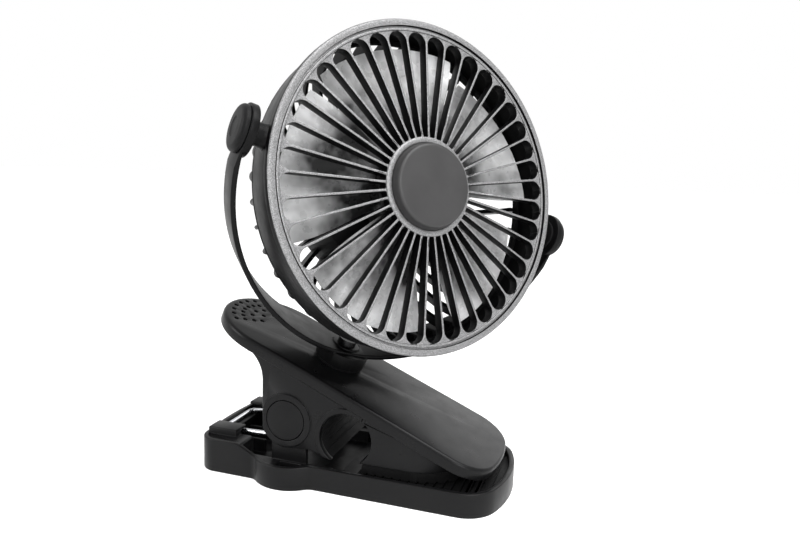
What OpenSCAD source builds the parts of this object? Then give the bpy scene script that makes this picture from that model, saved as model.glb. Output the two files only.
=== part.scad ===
// Portable clip fan: a fan head that tilts in a yoke, on a swivel above a sprung clip.
// Millimetres, +Z up. The origin is the centre of the base's underside and the clip's
// mouth faces -Y. The clip, yoke and head each have a frame module further down.

/* [Clip base] */
// Length of the base
base_len = 148.5; // [144:0.5:160]
// Width of the base, without the bulges beside the pivot
base_w = 64.4; // [62:0.2:70]
// Height of the rim round the front tray
rim_h = 11; // [10:0.5:13]
// Height of the raised rear end
rear_rim_h = 16; // [15.5:0.5:18]
// Thickness of the rim wall
base_wall = 2.4; // [1.8:0.1:2.8]
// Thickness of the floor
base_floor = 2.2; // [1.6:0.1:3]
// Corner radius of the front end
front_corner_r = 16; // [12:0.5:20]
// Corner radius of the rear end
rear_corner_r = 9; // [7:0.5:12]
// Radius of the shallow crown that closes the front end
front_crown_r = 65; // [60:1:90]
// Radius of the shallow crown that closes the rear end
rear_crown_r = 200; // [150:5:300]
// Radius of the bulge on each side of the pivot
bulge_r = 19; // [18:0.5:21]
// Sideways distance from the centre line to the middle of a bulge
bulge_x = 19.3; // [18:0.1:20]
// Radius that blends a bulge into the side
bulge_blend_r = 6; // [4:0.5:9]
// Height of the ledges under the ears
ledge_h = 8.3; // [7:0.1:9]
// Top of the lower pad
pad_top = 8.5; // [7:0.1:9]
// Length of the lower pad
pad_len = 64.5; // [55:0.5:68]

/* [Clip pivot] */
// Distance of the pivot behind the middle of the base
pivot_y = 27.5; // [25:0.5:30]
// Height of the pivot
pivot_z = 29.6; // [28:0.2:32]
// Diameter of the pivot pin
pin_d = 5; // [4:0.25:6]
// Radius of a lug on the base
lug_r = 9; // [7:0.5:10]
// Thickness of a lug
lug_t = 3; // [2.5:0.1:3.5]

/* [Clip jaw] */
// Slope of the upper jaw when the clip is closed, in degrees
jaw_slope = 23.3; // [22.5:0.1:26]
// Height of the upper jaw's top face above the pivot, square to the slope
jaw_top = 27; // [26:0.2:30]
// Reach of the jaw from the pivot to its tip, along the slope
jaw_reach = 94.5; // [88:0.5:95]
// Width of the jaw near its tip
jaw_tip_w = 59.4; // [57:0.2:61]
// Width of the jaw above the pivot
jaw_waist_w = 57.4; // [56.4:0.2:59]
// Radius of the round end of the handle
handle_r = 29.5; // [28:0.5:31]
// Distance from the pivot to the middle of the round end
handle_reach = 30.1; // [27:0.5:33]
// Corner radius of the tip
jaw_corner_r = 18; // [14:0.5:21]
// Depth of the jaw's edge
edge_h = 5.6; // [5:0.1:7]
// Thickness of the jaw's top plate
plate_t = 2.4; // [1.8:0.1:3]
// Thickness of the jaw's edge wall
jaw_wall = 2.2; // [1.6:0.1:2.6]
// Height of the block under the jaw, when the clip is closed
block_z = 14.5; // [13:0.1:16]
// Distance from the pivot forward to the block's rear face
block_rear = 34.2; // [33.9:0.1:36]
// Distance from the pivot forward to the block's round front
block_reach = 86; // [80:0.5:88]
// Radius of the block's rear corners
block_corner_r = 4.4; // [4.2:0.1:5.4]
// Thickness of the block's walls
block_wall = 2; // [1.4:0.1:2.6]
// Depth of the upper pad inside the block
pad_sunk = 2.5; // [1.5:0.1:4]
// Gap between the two pads
pad_gap = 0.3; // [0.2:0.1:1]

/* [Ears and tube notch] */
// Distance from the centre line to an ear's outer face
ear_x = 27.9; // [27.4:0.1:28.2]
// Thickness of an ear
ear_t = 2.2; // [1.8:0.1:2.4]
// Radius of the boss round the pivot
ear_boss_r = 13.3; // [12.5:0.1:14]
// Distance from the pivot back to the ear's rear edge
ear_rear = 12.2; // [11:0.1:12.4]
// Radius of the blend from the ear's rear edge to the handle
ear_blend_r = 16; // [12:1:18]
// Radius of the pivot cap
cap_r = 9.4; // [8:0.1:10]
// Height of the boss and cap above the ear
boss_h = 0.8; // [0.4:0.1:1.2]
// Radius of the tube that the notch holds
notch_r = 12.3; // [11:0.1:12.6]
// Distance from the pivot forward to the notch's centre
notch_y = 29.8; // [29:0.1:31]
// Distance from the pivot down to the notch's centre
notch_z = 4.8; // [4:0.1:5.6]
// Width of the bead round the notch
bead_w = 2.3; // [1.5:0.1:2.6]

/* [Spring] */
// Diameter of the spring wire
wire_d = 2.5; // [2:0.1:2.8]
// Mean radius of the coils
coil_r = 11; // [10:0.1:11.2]
// Distance of the outer turn from the centre line
coil_x = 20; // [19:0.1:20.2]
// Rise of the coil along its axis in one turn
coil_pitch = 2.7; // [2.6:0.05:3]
// Half the length of the cross bar
bail_x = 14; // [12:0.5:15]
// Height of the cross bar's centre
bail_z = 14.3; // [13.5:0.1:14.5]

/* [Yoke] */
// Height of the band's outer face above the jaw's top face, at the foot
yoke_lift = 6.6; // [5:0.2:11]
// Distance of the swivel in front of the pivot, along the slope
swivel_back = 3.87; // [2:0.1:6]
// Angle of the yoke about the swivel, in degrees
yoke_turn = -44.4; // [-60:0.1:0]
// Distance from the fan's rim to the outer face of the yoke's band
yoke_gap = 10; // [9:0.2:12]
// Thickness of the band
yoke_t = 2.2; // [1.8:0.1:2.8]
// Distance from the tilt axis forward to the band's front edge
yoke_front = 8.6; // [7:0.1:10]
// Distance from the tilt axis back to the band's rear edge, at the arms
yoke_rear = 4.3; // [3:0.1:7]
// The same distance at the foot
yoke_foot_rear = 17; // [13:0.5:20]
// Radius of the foot
foot_r = 12.5; // [11:0.5:14]
// Radius of the round end of an arm
arm_end_r = 11; // [10.5:0.5:13]
// Outer radius of a knob
knob_r = 10; // [9:0.2:11]
// Height of a knob
knob_h = 3.5; // [3:0.1:5]
// Diameter of the swivel bolt
bolt_d = 5; // [4:0.5:6]

/* [Fan head] */
// Tilt of the head, in degrees back from facing square across the yoke
head_tilt = 28.1; // [0:0.1:45]
// Width of the front rim, outside the slots
rim_w = 5.3; // [5.3:0.1:7]
// Distance from the tilt axis forward to the rim's front face
rim_z = 9; // [8:0.1:10]
// How far the drum narrows to the rear
drum_taper = 1.3; // [0.4:0.1:1.6]
// Distance from the tilt axis back to the drum's rear edge
drum_rear_z = 11.4; // [11:0.1:13]
// Thickness of the drum wall at its rear edge
drum_wall = 2; // [1.6:0.1:2.4]
// Radius of the necks that the head tilts on
neck_r = 5; // [4.5:0.1:6]

/* [Grilles] */
// Number of slots in the front grille, and of ribs at the rear
slots = 40; // [30:1:44]
// How far the slots reach beyond the blade tips
slot_margin = 4.7; // [4:0.1:6]
// Radius at which the slots start
slot_in_r = 21.8; // [21.8:0.1:24]
// Width of a spoke at its outer end
spoke_out_w = 1; // [0.8:0.1:1.6]
// Width of a spoke at its inner end
spoke_in_w = 0.8; // [0.6:0.1:1.2]
// Depth of the spokes
spoke_depth = 5; // [4.2:0.1:5.4]
// Rise of the front grille from its rim to its middle
front_dome = 3; // [1:0.1:3.5]
// Thickness of a rear rib
rib_t = 2; // [1.4:0.1:2.4]
// Radial depth of a rear rib
rib_depth = 6; // [4:0.1:6.2]
// Radius of the rear dome's arc
dome_r = 42; // [41.4:0.1:42.8]
// Radius of the rear housing
housing_r = 38; // [38:0.2:40]
// Distance from the tilt axis back to the rear cover
housing_z = 50; // [49.5:0.1:52]
// Radius of the hub cap's face
hub_cap_r = 17.9; // [16.5:0.1:18.2]
// Height of the hub cap
hub_cap_h = 5; // [4:0.1:6]

/* [Rotor] */
// Number of blades
blades = 5; // [3:1:7]
// Radius of the blade tips
blade_r = 65; // [55:0.5:67]
// Angle that one blade covers, in degrees
blade_span = 66; // [40:1:66]
// Axial depth of a blade
blade_h = 13; // [10:0.5:14]
// Radius of the rotor's hub
hub_r = 20.5; // [20.2:0.1:21]
// Diameter of the motor shaft
shaft_d = 3; // [2:0.1:3.2]

/* [Power] */
// Diameter of the battery cell
cell_d = 18.2; // [14:0.1:18.6]
// Length of the battery cell
cell_len = 65; // [50:0.5:65.2]
// Diameter of the power button
button_d = 12; // [9:0.5:13]
// Travel of the power button
button_travel = 1; // [0.5:0.1:1.2]

/* [Hidden] */
$fn = 96;

// Colours
black_plastic = "#1b1c1e";
dark_rubber = "#101112";
gunmetal = "#5b5d60";
steel = "#c9ccd0";
copper = "#b5713a";
brass = "#c6a552";
smoke = "#c8ccd0";

// Clearances
fit_gap = 0.05;      // a pin or stud in its bore
slide_gap = 0.1;     // flat faces that turn on each other
seat_gap = 0.2;      // a soft or snapped-in piece in its seat
far = 300;           // longer than the whole part, for cutting
lap = 0.5;           // depth by which shapes of one moulding run into each other
chord_error = 0.012; // how far an outline's straight steps may leave its arcs

// Clip base
front_tip_y = -base_len / 2;
rear_end_y = base_len / 2;
ramp_from_y = pivot_y + 11.9;      // where the rim starts to rise
ramp_to_y = pivot_y + 25.7;        // where it reaches the rear height
ramp_steps = 8;
deck_y = pivot_y + 21.5;           // front edge of the rear deck
deck_h = rear_rim_h - 0.5;
pocket_half_w = bail_x + 5.5;      // spring pocket in the deck
shelf_len = 5.4;                   // shelf under the cross bar
shelf_h = bail_z - wire_d / 2 - fit_gap;
pocket_rear_y = rear_end_y - base_wall - 0.4;
bail_y = pocket_rear_y - wire_d / 2 - 0.4;
coil_turns = 3;                    // whole turns of a coil, besides the part turn
coil_step = 15;
bend_r = 3;                        // how far a bend of the wire reaches along it
bend_steps = 4;
hook_len = 15.5;                   // hooks over the spring's legs
hook_t = 1.5;
hook_half_w = 4.8;
rib_w = 1.6;
rib_h = 9;
core_wall = 2;
window_len = 11;                   // windows in the ledges
window_floor = 4;
ledge_from_y = pivot_y - 22.3;
pad_groove_pitch = 4;
pad_groove_w = 1;
pad_groove_depth = 0.7;
lug_x = ear_x - ear_t - boss_h - slide_gap;      // outer face of a lug

// Ears, in the pivot's plane: first forward or back, then up
edge_bottom = jaw_top - edge_h;
ear_root = jaw_top - plate_t / 2;
cap_seat_r = cap_r + seat_gap + 0.1;
cap_seat_x = ear_x - ear_t / 2 - 0.1;
cap_x = ear_x + boss_h;
pin_half_len = ear_x - 0.3;
pin_r = pin_d / 2;
inner_boss_r = 7;
boss_inset = 0.6;                  // step from the ear's edge in to the raised boss
notch_front = 8.5;                // where the ear meets the jaw, in front of the notch
hook_points = [
    [-notch_y - 1.5, -notch_z - notch_r + 0.5],
    [-notch_y + 1.2, -notch_z - notch_r + 0.5],
    [-notch_y + 8.2, -notch_z - notch_r + 2.2],
    [-11.3, -ear_boss_r + 0.7],
    [0, -ear_boss_r],
];
lining_t = 2;
web_t = 2;
lining_r = notch_r + 0.3;
lining_ribs = 9;

// Jaw
jaw_crown_r = 80;
dimple_d = 2.2;
dimple_depth = 1;
dimple_mid = handle_reach + 3.4;
// Rows of dimples: radius, count, angle between neighbours
dimple_rows = [[22, 9, 13.5], [17.3, 9, 13.5], [12.5, 5, 27], [7.8, 3, 50]];
handle_rib_x = 8;
block_half_w = ear_x - 0.4;
block_top = -notch_z + 9;          // top of the block's rear corner, from the pivot
block_seat = block_z + pad_sunk - pivot_z;
grip_pad_bottom = pad_top + pad_gap - pivot_z;

// Radii of the head, out from the blades
slot_out_r = blade_r + slot_margin;
rim_r = slot_out_r + rim_w;
drum_front_r = rim_r - 0.4;
drum_rear_r = drum_front_r - drum_taper;
drum_bore_r = drum_rear_r - drum_wall;

// Swivel and yoke, in the yoke's frame
yoke_r = rim_r + yoke_gap;
yoke_rise = yoke_r + yoke_lift;
foot_z = -yoke_rise;
disc_t = 0.8;
foot_bottom = foot_z + disc_t + slide_gap;
yoke_in_r = yoke_r - yoke_t;
bolt_seat = -yoke_in_r + 0.8;
bolt_r = bolt_d / 2;
bolt_head_h = 2.6;
nut_h = 4;
nut_af = bolt_d * 1.6;
washer_t = 1;
plate_boss_t = 1.5;
jaw_plate_bottom = foot_z - plate_t;
nut_top = jaw_plate_bottom - plate_boss_t - washer_t;
arm_in_x = yoke_in_r - 2.3;
arm_out_x = yoke_r - 1.2;
tilt_washer_t = 1;
stud_r = 4;
thread_r = 2;
stud_head_r = 6;
stud_head_h = 1.4;
tilt_neck_x = arm_in_x - tilt_washer_t - 2 * slide_gap;
yoke_steps = 10;

// Head
drum_front_z = rim_z - 4;
lip_depth = 2.5;
lip_t = 1.2;
groove_in_r = rim_r - 4;
groove_out_r = rim_r - 3;
groove_depth = 1.6;
plate_edge_z = rim_z - 1;
hub_plate_r = slot_in_r + 0.4;
hub_plate_z = plate_edge_z + front_dome - 0.4;
hub_ring_w = 2.6;
hub_ring_h = 0.8;
cap_base_r = hub_plate_r - hub_ring_w - 0.05;
hub_cap_wall = 1.6;
slot_turn = -2.4;                  // the slot pattern starts this far before the tilt axis
slot_step = 360 / slots;
rib_turn = 0.5;
dome_lean = 5;                     // slope of the dome's arc where it leaves the drum
dome_mid = drum_rear_r - dome_r * cos(dome_lean);
dome_z = dome_r * sin(dome_lean) - drum_rear_z;
rear_rim_t = 1.4;
rear_rim_w = 3.6;
housing_wall = 2;
housing_front_z = -21;
housing_floor_z = housing_front_z - housing_wall;
cover_t = 2.5;
cover_screw_r = housing_r - 5.8;
cover_screw_turns = [90, 213, 327];
cover_boss_r = 3;
cover_head_r = 2;
cover_head_h = 1.3;
screw_r = 1;

// Motor, in the head's frame
tube_r = 5;
tube_front_z = -3.5;
tube_flange_r = 9;
tube_flange_t = 1.6;
bearing_r = 4;
bearing_w = 4;
bearing_shoulder_r = 3.2;
shaft_r = shaft_d / 2;
motor_screw_pcr = 7;
motor_screw_turns = [90, 210, 330];
motor_thread_r = 0.8;
lead_turn = 280;
lead_pcr = 9.6;
lead_hole_r = 1.8;
lead_r = 0.45;
rear_seat_h = 1.5;
shaft_rear_z = housing_floor_z + 0.1;
motor_screw_head_r = 1.6;
motor_screw_head_h = 1.2;
hub_front_z = 2;
shaft_front_z = hub_front_z - 1;
hub_rear_z = -16;
hub_wall = 2.3;
can_wall = 1;
can_r = hub_r - hub_wall - fit_gap;
can_front_z = hub_front_z - hub_wall;
can_boss_r = 3.5;
can_boss_h = 1.9;
magnet_t = 2;
magnet_front_z = -3;
magnet_rear_z = -14.5;
air_gap = 0.4;
stator_r = can_r - can_wall - magnet_t - air_gap;
stator_h = 7;
stator_z = -12;
poles = 9;
pole_w = 2.4;
pole_face_h = 1.6;
core_ring_t = 2.2;
coil_w = 1.1;
blade_z = -10.5;
blade_t = 7;                       // angle that the blade's edge covers

// Battery and electronics, in the head's frame
cell_r = cell_d / 2;
cell_y = 3.5;
holder_t = 1.4;
cell_z = housing_floor_z - holder_t - 0.1 - cell_r;
contact_t = 0.4;
contact_x = cell_len / 2 + fit_gap;
board_t = 1.6;
board_z = -46;
board_half_w = 17;
board_low_y = -31;
board_high_y = -8.5;
post_r = 1.8;
button_y = -15;
button_r = button_d / 2;
button_proud = 0.8;
button_flange_t = 1.2;
switch_gap = 0.3;
switch_h = housing_z + board_z - slide_gap - button_flange_t - button_travel - switch_gap;
usb_w = 9;
usb_h = 3.2;
usb_y = -27;
lens_x = 11;
lens_r = 1.5;
battery_lead_r = 0.7;
holder_end_w = 11;

// ---- Frames ----

// The clip's pivot, level
module pivot_frame() translate([0, pivot_y, pivot_z]) children();

// The upper jaw: +Y up the slope to the rear, +Z out of its top face
module jaw_frame() pivot_frame() rotate([jaw_slope, 0, 0]) children();

// The yoke: X is the tilt axis, +Z the swivel axis, -Y the way it faces
module yoke_frame()
    jaw_frame() translate([0, -swivel_back, jaw_top + yoke_rise]) rotate([0, 0, yoke_turn]) children();

// The head: X is the tilt axis, +Z the way the air blows
module head_frame() yoke_frame() rotate([90 - head_tilt, 0, 0]) children();

// ---- Shared shapes ----

// A flat shape drawn in Y and Z, made thick along X and centred
module along_x(width) rotate([90, 0, 90]) linear_extrude(width, center = true) children();

// A copy on each side of the centre line
module both_sides() {
    children();
    mirror([1, 0, 0]) children();
}

// A tube standing on the XY plane
module ring(outer, inner, height) difference() {
    cylinder(h = height, r = outer);
    translate([0, 0, -1]) cylinder(h = height + 2, r = inner);
}

// Points of an arc, at steps that keep each chord within chord_error of it
function arc(centre, radius, from, to, first = 0) =
    let (steps = ceil(abs(to - from) / 2 / acos(1 - chord_error / radius)))
    [for (i = [first:steps])
        let (angle = from + (to - from) * i / steps)
        centre + radius * [cos(angle), sin(angle)]];

// Half of an outline's front end, from its tip at the origin: a shallow crown, then a corner
function crown_half(half_w, corner_r, crown_r) =
    let (corner_x = half_w - corner_r,
        turn = asin(corner_x / (crown_r - corner_r)),
        corner_y = crown_r - (crown_r - corner_r) * cos(turn))
    concat(arc([0, crown_r], crown_r, 270, 270 + turn),
        arc([corner_x, corner_y], corner_r, 270 + turn, 360, 1));

// An outline from the points of its right half, which start and end on the centre line
module outline(half) polygon(concat(half,
    [for (i = [len(half) - 2:-1:1]) [-half[i].x, half[i].y]]));

// A round wire through a list of points
module wire(points, radius) {
    for (i = [1:len(points) - 1]) {
        step = points[i] - points[i - 1];
        translate(points[i - 1])
            rotate([0, acos(step.z / norm(step)), atan2(step.y, step.x)])
                cylinder(h = norm(step), r = radius, $fn = 24);
    }
    for (i = [1:1:len(points) - 2])
        translate(points[i]) sphere(radius * 1.02, $fn = 24);
}

// ---- Clip base ----

// The base from above, drawn in by an inset
module base_outline(inset = 0) {
    half_w = base_w / 2 - inset;
    blend_r = bulge_blend_r + inset;
    swell_r = bulge_r - inset;
    blend_x = half_w + blend_r;
    blend_y = sqrt(pow(swell_r + blend_r, 2) - pow(blend_x - bulge_x, 2));
    turn = atan2(blend_y, blend_x - bulge_x);
    front = crown_half(half_w, front_corner_r - inset, front_crown_r - inset);
    rear = crown_half(half_w, rear_corner_r - inset, rear_crown_r - inset);
    outline(concat(
        [for (point = front) [point.x, front_tip_y + inset + point.y]],
        arc([blend_x, pivot_y - blend_y], blend_r, 180, 180 - turn),
        arc([bulge_x, pivot_y], swell_r, -turn, turn, 1),
        arc([blend_x, pivot_y + blend_y], blend_r, 180 + turn, 180, 1),
        [for (i = [len(rear) - 1:-1:0]) [rear[i].x, rear_end_y - inset - rear[i].y]]));
}

// All that lies above the rim, with its rise to the rear
module above_rim() along_x(far) polygon(concat(
    [[-far, far], [-far, rim_h]],
    [for (i = [0:ramp_steps])
        let (t = i / ramp_steps)
        [ramp_from_y + (ramp_to_y - ramp_from_y) * t,
            rim_h + (rear_rim_h - rim_h) * (3 - 2 * t) * t * t]],
    [[far, rear_rim_h], [far, far]]));

// A strip of the plan between two distances along Y
module strip(from_y, to_y) translate([-far / 2, from_y]) square([far, to_y - from_y]);

// A lug that carries the pivot pin
module lug() translate([lug_x - lug_t / 2, pivot_y, 0]) along_x(lug_t) {
    translate([0, pivot_z]) circle(lug_r);
    translate([-lug_r, base_floor - lap]) square([2 * lug_r, pivot_z - base_floor + lap]);
}

// A hook that keeps one leg of the spring down
module spring_hook() {
    hook_z = deck_h + wire_d / 2 + 0.5;
    translate([pocket_half_w - hook_half_w, pocket_rear_y - hook_len, hook_z])
        cube([2 * hook_half_w, hook_len, hook_t]);
    translate([pocket_half_w, pocket_rear_y - hook_len, deck_h - lap])
        cube([hook_half_w, hook_len, hook_z - deck_h + 2 * lap]);
}

module lower_jaw() color(black_plastic) difference() {
    union() {
        difference() {
            linear_extrude(rear_rim_h) base_outline();
            above_rim();
            translate([0, 0, base_floor]) linear_extrude(far) intersection() {
                base_outline(base_wall);
                strip(-far, deck_y);
            }
            translate([0, 0, deck_h]) linear_extrude(far) intersection() {
                base_outline(base_wall);
                strip(deck_y - 1, far);
            }
            translate([-pocket_half_w, deck_y - 1, base_floor])
                cube([2 * pocket_half_w, pocket_rear_y - deck_y + 1, far]);
        }
        translate([-pocket_half_w - lap, pocket_rear_y - shelf_len, base_floor - lap])
            cube([2 * (pocket_half_w + lap), shelf_len + lap, shelf_h - base_floor + lap]);
        both_sides() {
            translate([pocket_half_w / 3, deck_y, base_floor - lap])
                cube([rib_w, pocket_rear_y - shelf_len - deck_y + lap, rib_h - base_floor + lap]);
            spring_hook();
            lug();
            linear_extrude(ledge_h) intersection() {
                base_outline(base_wall - lap);
                strip(ledge_from_y, deck_y + lap);
                translate([lug_x - lug_t / 2, -far / 2]) square(far);
            }
        }
    }
    both_sides() {
        translate([lug_x + 1, pivot_y - window_len / 2 - 1.5, window_floor])
            cube([base_w / 2 - lug_x, window_len, far]);
        translate([pocket_half_w + core_wall, deck_y + core_wall, -1])
            cube([base_w / 2 - base_wall - pocket_half_w - 2 * core_wall,
                rear_end_y - rear_corner_r - deck_y - core_wall, deck_h - core_wall + 1]);
    }
    translate([0, pivot_y, pivot_z]) rotate([0, 90, 0])
        cylinder(h = 3 * lug_x, r = pin_r + fit_gap, center = true);
}

module lower_jaw_pad() color(dark_rubber) difference() {
    translate([0, 0, base_floor]) linear_extrude(pad_top - base_floor) base_outline(base_wall + seat_gap);
    translate([-far / 2, front_tip_y + base_wall + pad_len, -1]) cube(far);
    for (y = [pad_groove_pitch:pad_groove_pitch:pad_len - pad_groove_pitch])
        translate([-base_w, front_tip_y + base_wall + y, pad_top - pad_groove_depth])
            cube([2 * base_w, pad_groove_w, pad_groove_depth + 1]);
}

// ---- Spring ----

// Angle at which a line from a point leaves the coil, turning one way or the other
function touch_angle(point, way) = atan2(point.y, point.x) + way * acos(coil_r / norm(point));

// A point on the coil's mean circle, in the pivot's plane
function on_coil(angle) = coil_r * [cos(angle), sin(angle)];

// The half of the spring's centre line on one side, from the cross bar to the end of a leg
function spring_half() =
    let (bail = [bail_y, bail_z] - [pivot_y, pivot_z],
        leg_w = jaw_top - plate_t - wire_d / 2 - 0.3,
        leg_u = handle_reach + handle_r / 2,
        leg = [leg_u * cos(jaw_slope) - leg_w * sin(jaw_slope),
            leg_u * sin(jaw_slope) + leg_w * cos(jaw_slope)],
        from_angle = touch_angle(bail, -1),
        turn = from_angle - touch_angle(leg, 1) + 360 * coil_turns,
        steps = ceil(turn / coil_step),
        start = concat([coil_x], on_coil(from_angle)),
        corner = concat([bail_x], bail),
        out = (start - corner) / norm(start - corner),
        inner_x = coil_x - coil_pitch * turn / 360)
    concat(
        [for (i = [0:bend_steps])
            let (t = i / bend_steps)
            corner + bend_r * (pow(1 - t, 2) * [-1, 0, 0] + pow(t, 2) * out)],
        [for (i = [0:steps])
            concat([coil_x - coil_pitch * turn / 360 * i / steps], on_coil(from_angle - turn * i / steps))],
        [concat([inner_x], leg)]);

// The same point on the other side of the centre line
function mirrored(point) = [-point.x, point.y, point.z];

// The unit vector that points from one place on a path to another
function heading(path, from, to) = (path[to] - path[from]) / norm(path[to] - path[from]);

// A vector with its share along a unit vector taken out, at length one
function squared_to(vector, along) =
    let (rest = vector - (vector * along) * along) rest / norm(rest);

// A wire swept along a path as one closed tube
module swept_wire(path, radius, sides) {
    last = len(path) - 1;
    along = [for (i = [0:last]) heading(path, max(i - 1, 0), min(i + 1, last))];
    across = [for (i = 0, v = squared_to([1, 0, 0], along[0]); i <= last;
        i = i + 1, v = i > last ? v : squared_to(v, along[i])) v];
    points = [for (i = [0:last], k = [0:sides - 1])
        let (angle = k * 360 / sides)
        path[i] + radius * (cos(angle) * across[i] + sin(angle) * cross(along[i], across[i]))];
    walls = [for (i = [0:last - 1], k = [0:sides - 1])
        let (next = (k + 1) % sides)
        [i * sides + k, (i + 1) * sides + k, (i + 1) * sides + next, i * sides + next]];
    polyhedron(points, concat(walls, [[for (k = [0:sides - 1]) k],
        [for (k = [sides - 1:-1:0]) last * sides + k]]));
}

module clip_spring() color(steel) pivot_frame() {
    half = spring_half();
    other = [for (i = [len(half) - 1:-1:0]) mirrored(half[i])];
    swept_wire(concat(other, half), wire_d / 2, 8);
}

// ---- Upper jaw ----

// The jaw from above in its own frame, drawn in by an inset
module jaw_outline(inset = 0) {
    tip_half = jaw_tip_w / 2 - inset;
    tip = crown_half(tip_half, jaw_corner_r - inset, jaw_crown_r - inset);
    outline(concat(
        [for (point = tip) [point.x, inset - jaw_reach + point.y]],
        [[tip_half, jaw_corner_r + 10 - jaw_reach], [jaw_waist_w / 2 - inset, 0]],
        arc([0, handle_reach], handle_r - inset, 0, 90)));
}

// Height in the pivot's plane of a line that runs along the jaw
function jaw_line(height, y) = height / cos(jaw_slope) + y * tan(jaw_slope);

// The boss round the pivot, cut flush with the ear's rear edge
module boss_outline(inset = 0) intersection() {
    circle(ear_boss_r - inset);
    translate([-far, -far]) square([far + ear_rear - inset, 2 * far]);
}

// An ear from the side, in the pivot's plane
module ear_outline() difference() {
    blend = ear_blend_r / tan((90 + jaw_slope) / 2);
    corner_z = jaw_line(edge_bottom, ear_rear);
    union() {
        boss_outline();
        polygon(concat([
            [0, 0],
            [ear_rear, 0],
            [ear_rear, jaw_line(ear_root, ear_rear)],
            [-notch_y - notch_front, jaw_line(ear_root, -notch_y - notch_front)],
            [-notch_y - notch_front, jaw_line(edge_bottom, -notch_y - notch_front)],
        ], hook_points));
        difference() {
            polygon([[ear_rear - 1, corner_z - blend], [ear_rear, corner_z - blend],
                [ear_rear + blend * cos(jaw_slope), corner_z + blend * sin(jaw_slope)],
                [ear_rear - 1, corner_z + lap]]);
            translate([ear_rear + ear_blend_r, corner_z - blend]) circle(ear_blend_r);
        }
    }
    translate([-notch_y, -notch_z]) circle(notch_r);
}

// A band round the notch that stays on the ear
module notch_band(inner, outer) intersection() {
    ear_outline();
    translate([-notch_y, -notch_z]) difference() {
        circle(outer);
        circle(inner);
    }
}

// The room for a tube in the notch, widened by a margin, in the pivot's plane
module notch_room(margin) translate([-notch_y, -notch_z]) circle(notch_r + fit_gap + margin);

// The block under the jaw from the side, in the pivot's plane, drawn in by an inset
module block_outline(inset, bottom, top) difference() {
    centre = [-block_rear - block_corner_r, block_top - block_corner_r];
    rear = centre.x - inset - 0.2;
    intersection() {
        polygon(concat(
            [[-far, bottom], [-block_rear - inset, bottom]],
            arc(centre, block_corner_r - inset, 0, 90),
            [[rear, block_top - inset], [rear, far], [-far, far]]));
        polygon([[-far, -far], [far, -far], [far, jaw_line(top, far)], [-far, jaw_line(top, -far)]]);
    }
    notch_room(inset);
}

// The block from above: round in front, with two rounded corners at the rear
module block_plan(inset) {
    half_w = block_half_w - inset;
    corner_r = block_corner_r - inset;
    corner_y = -block_rear - block_corner_r;
    outline(concat(
        arc([0, block_half_w - block_reach], half_w, 270, 360),
        arc([half_w - corner_r, corner_y], corner_r, 0, 90),
        [[0, corner_y + corner_r]]));
}

// The block's shape down to a height, drawn in by an inset
module block(inset, bottom, top) intersection() {
    along_x(far) block_outline(inset, bottom, top);
    translate([0, 0, -far / 2]) linear_extrude(far) block_plan(inset);
}

// The hollow block that closes the clip's mouth, with the ribs that its pad sits against
module jaw_block() {
    difference() {
        block(0, block_z - pivot_z, ear_root);
        block(block_wall, -far / 2, jaw_top - plate_t);
    }
    intersection() {
        block(block_wall / 2, block_seat, ear_root);
        both_sides() translate([handle_rib_x, 0, 0]) cube([rib_w, far, far], center = true);
    }
    // The ears run on into the block's sides
    from_y = lap - notch_y - notch_front;
    to_y = -block_rear - block_corner_r - block_wall;
    low = edge_bottom + lap / 2;
    both_sides() translate([block_half_w - block_wall / 2 + 0.1, 0, 0]) along_x(block_wall - 0.6) difference() {
        polygon([[from_y, jaw_line(low, from_y)], [from_y, jaw_line(ear_root, from_y)],
            [to_y, jaw_line(ear_root, to_y)], [to_y, jaw_line(low, to_y)]]);
        notch_room(0);
    }
}

module upper_jaw() color(black_plastic) difference() {
    union() {
        pivot_frame() jaw_block();
        jaw_frame() {
            difference() {
                translate([0, 0, edge_bottom]) linear_extrude(edge_h) jaw_outline();
                translate([0, 0, edge_bottom - 1]) linear_extrude(edge_h - plate_t + 1) jaw_outline(jaw_wall);
            }
            translate([0, -swivel_back, jaw_top - plate_t - plate_boss_t])
                cylinder(h = plate_boss_t + lap, r = inner_boss_r);
            for (x = [-handle_rib_x, handle_rib_x])
                translate([x - rib_w / 2, inner_boss_r, edge_bottom])
                    cube([rib_w, handle_reach + handle_r / 2 - inner_boss_r, edge_h - plate_t + lap]);
        }
        pivot_frame() both_sides() {
            translate([ear_x - ear_t / 2, 0, 0]) along_x(ear_t) ear_outline();
            translate([ear_x + (boss_h - lap) / 2, 0, 0]) along_x(boss_h + lap) boss_outline(boss_inset);
            translate([ear_x + (boss_h - lap) / 2, 0, 0]) along_x(boss_h + lap)
                notch_band(notch_r, notch_r + bead_w);
            translate([ear_x - ear_t - boss_h / 2 + lap / 2, 0, 0]) along_x(boss_h + lap) circle(inner_boss_r);
        }
        pivot_frame() along_x(2 * ear_x - ear_t)
            notch_band(lining_r + lining_t + seat_gap, lining_r + lining_t + seat_gap + web_t);
    }
    pivot_frame() {
        along_x(far) circle(pin_r + fit_gap);
        both_sides() translate([cap_seat_x + far / 2, 0, 0]) along_x(far) circle(cap_seat_r);
    }
    jaw_frame() {
        translate([0, -swivel_back, edge_bottom - 1]) cylinder(h = far, r = bolt_r + fit_gap);
        translate([0, dimple_mid, jaw_top - dimple_depth]) for (row = dimple_rows, i = [0:row[1] - 1])
            rotate([0, 0, 90 + (i - (row[1] - 1) / 2) * row[2]]) translate([row[0], 0, 0])
                cylinder(h = far, r = dimple_d / 2, $fn = 24);
    }
}

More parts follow.
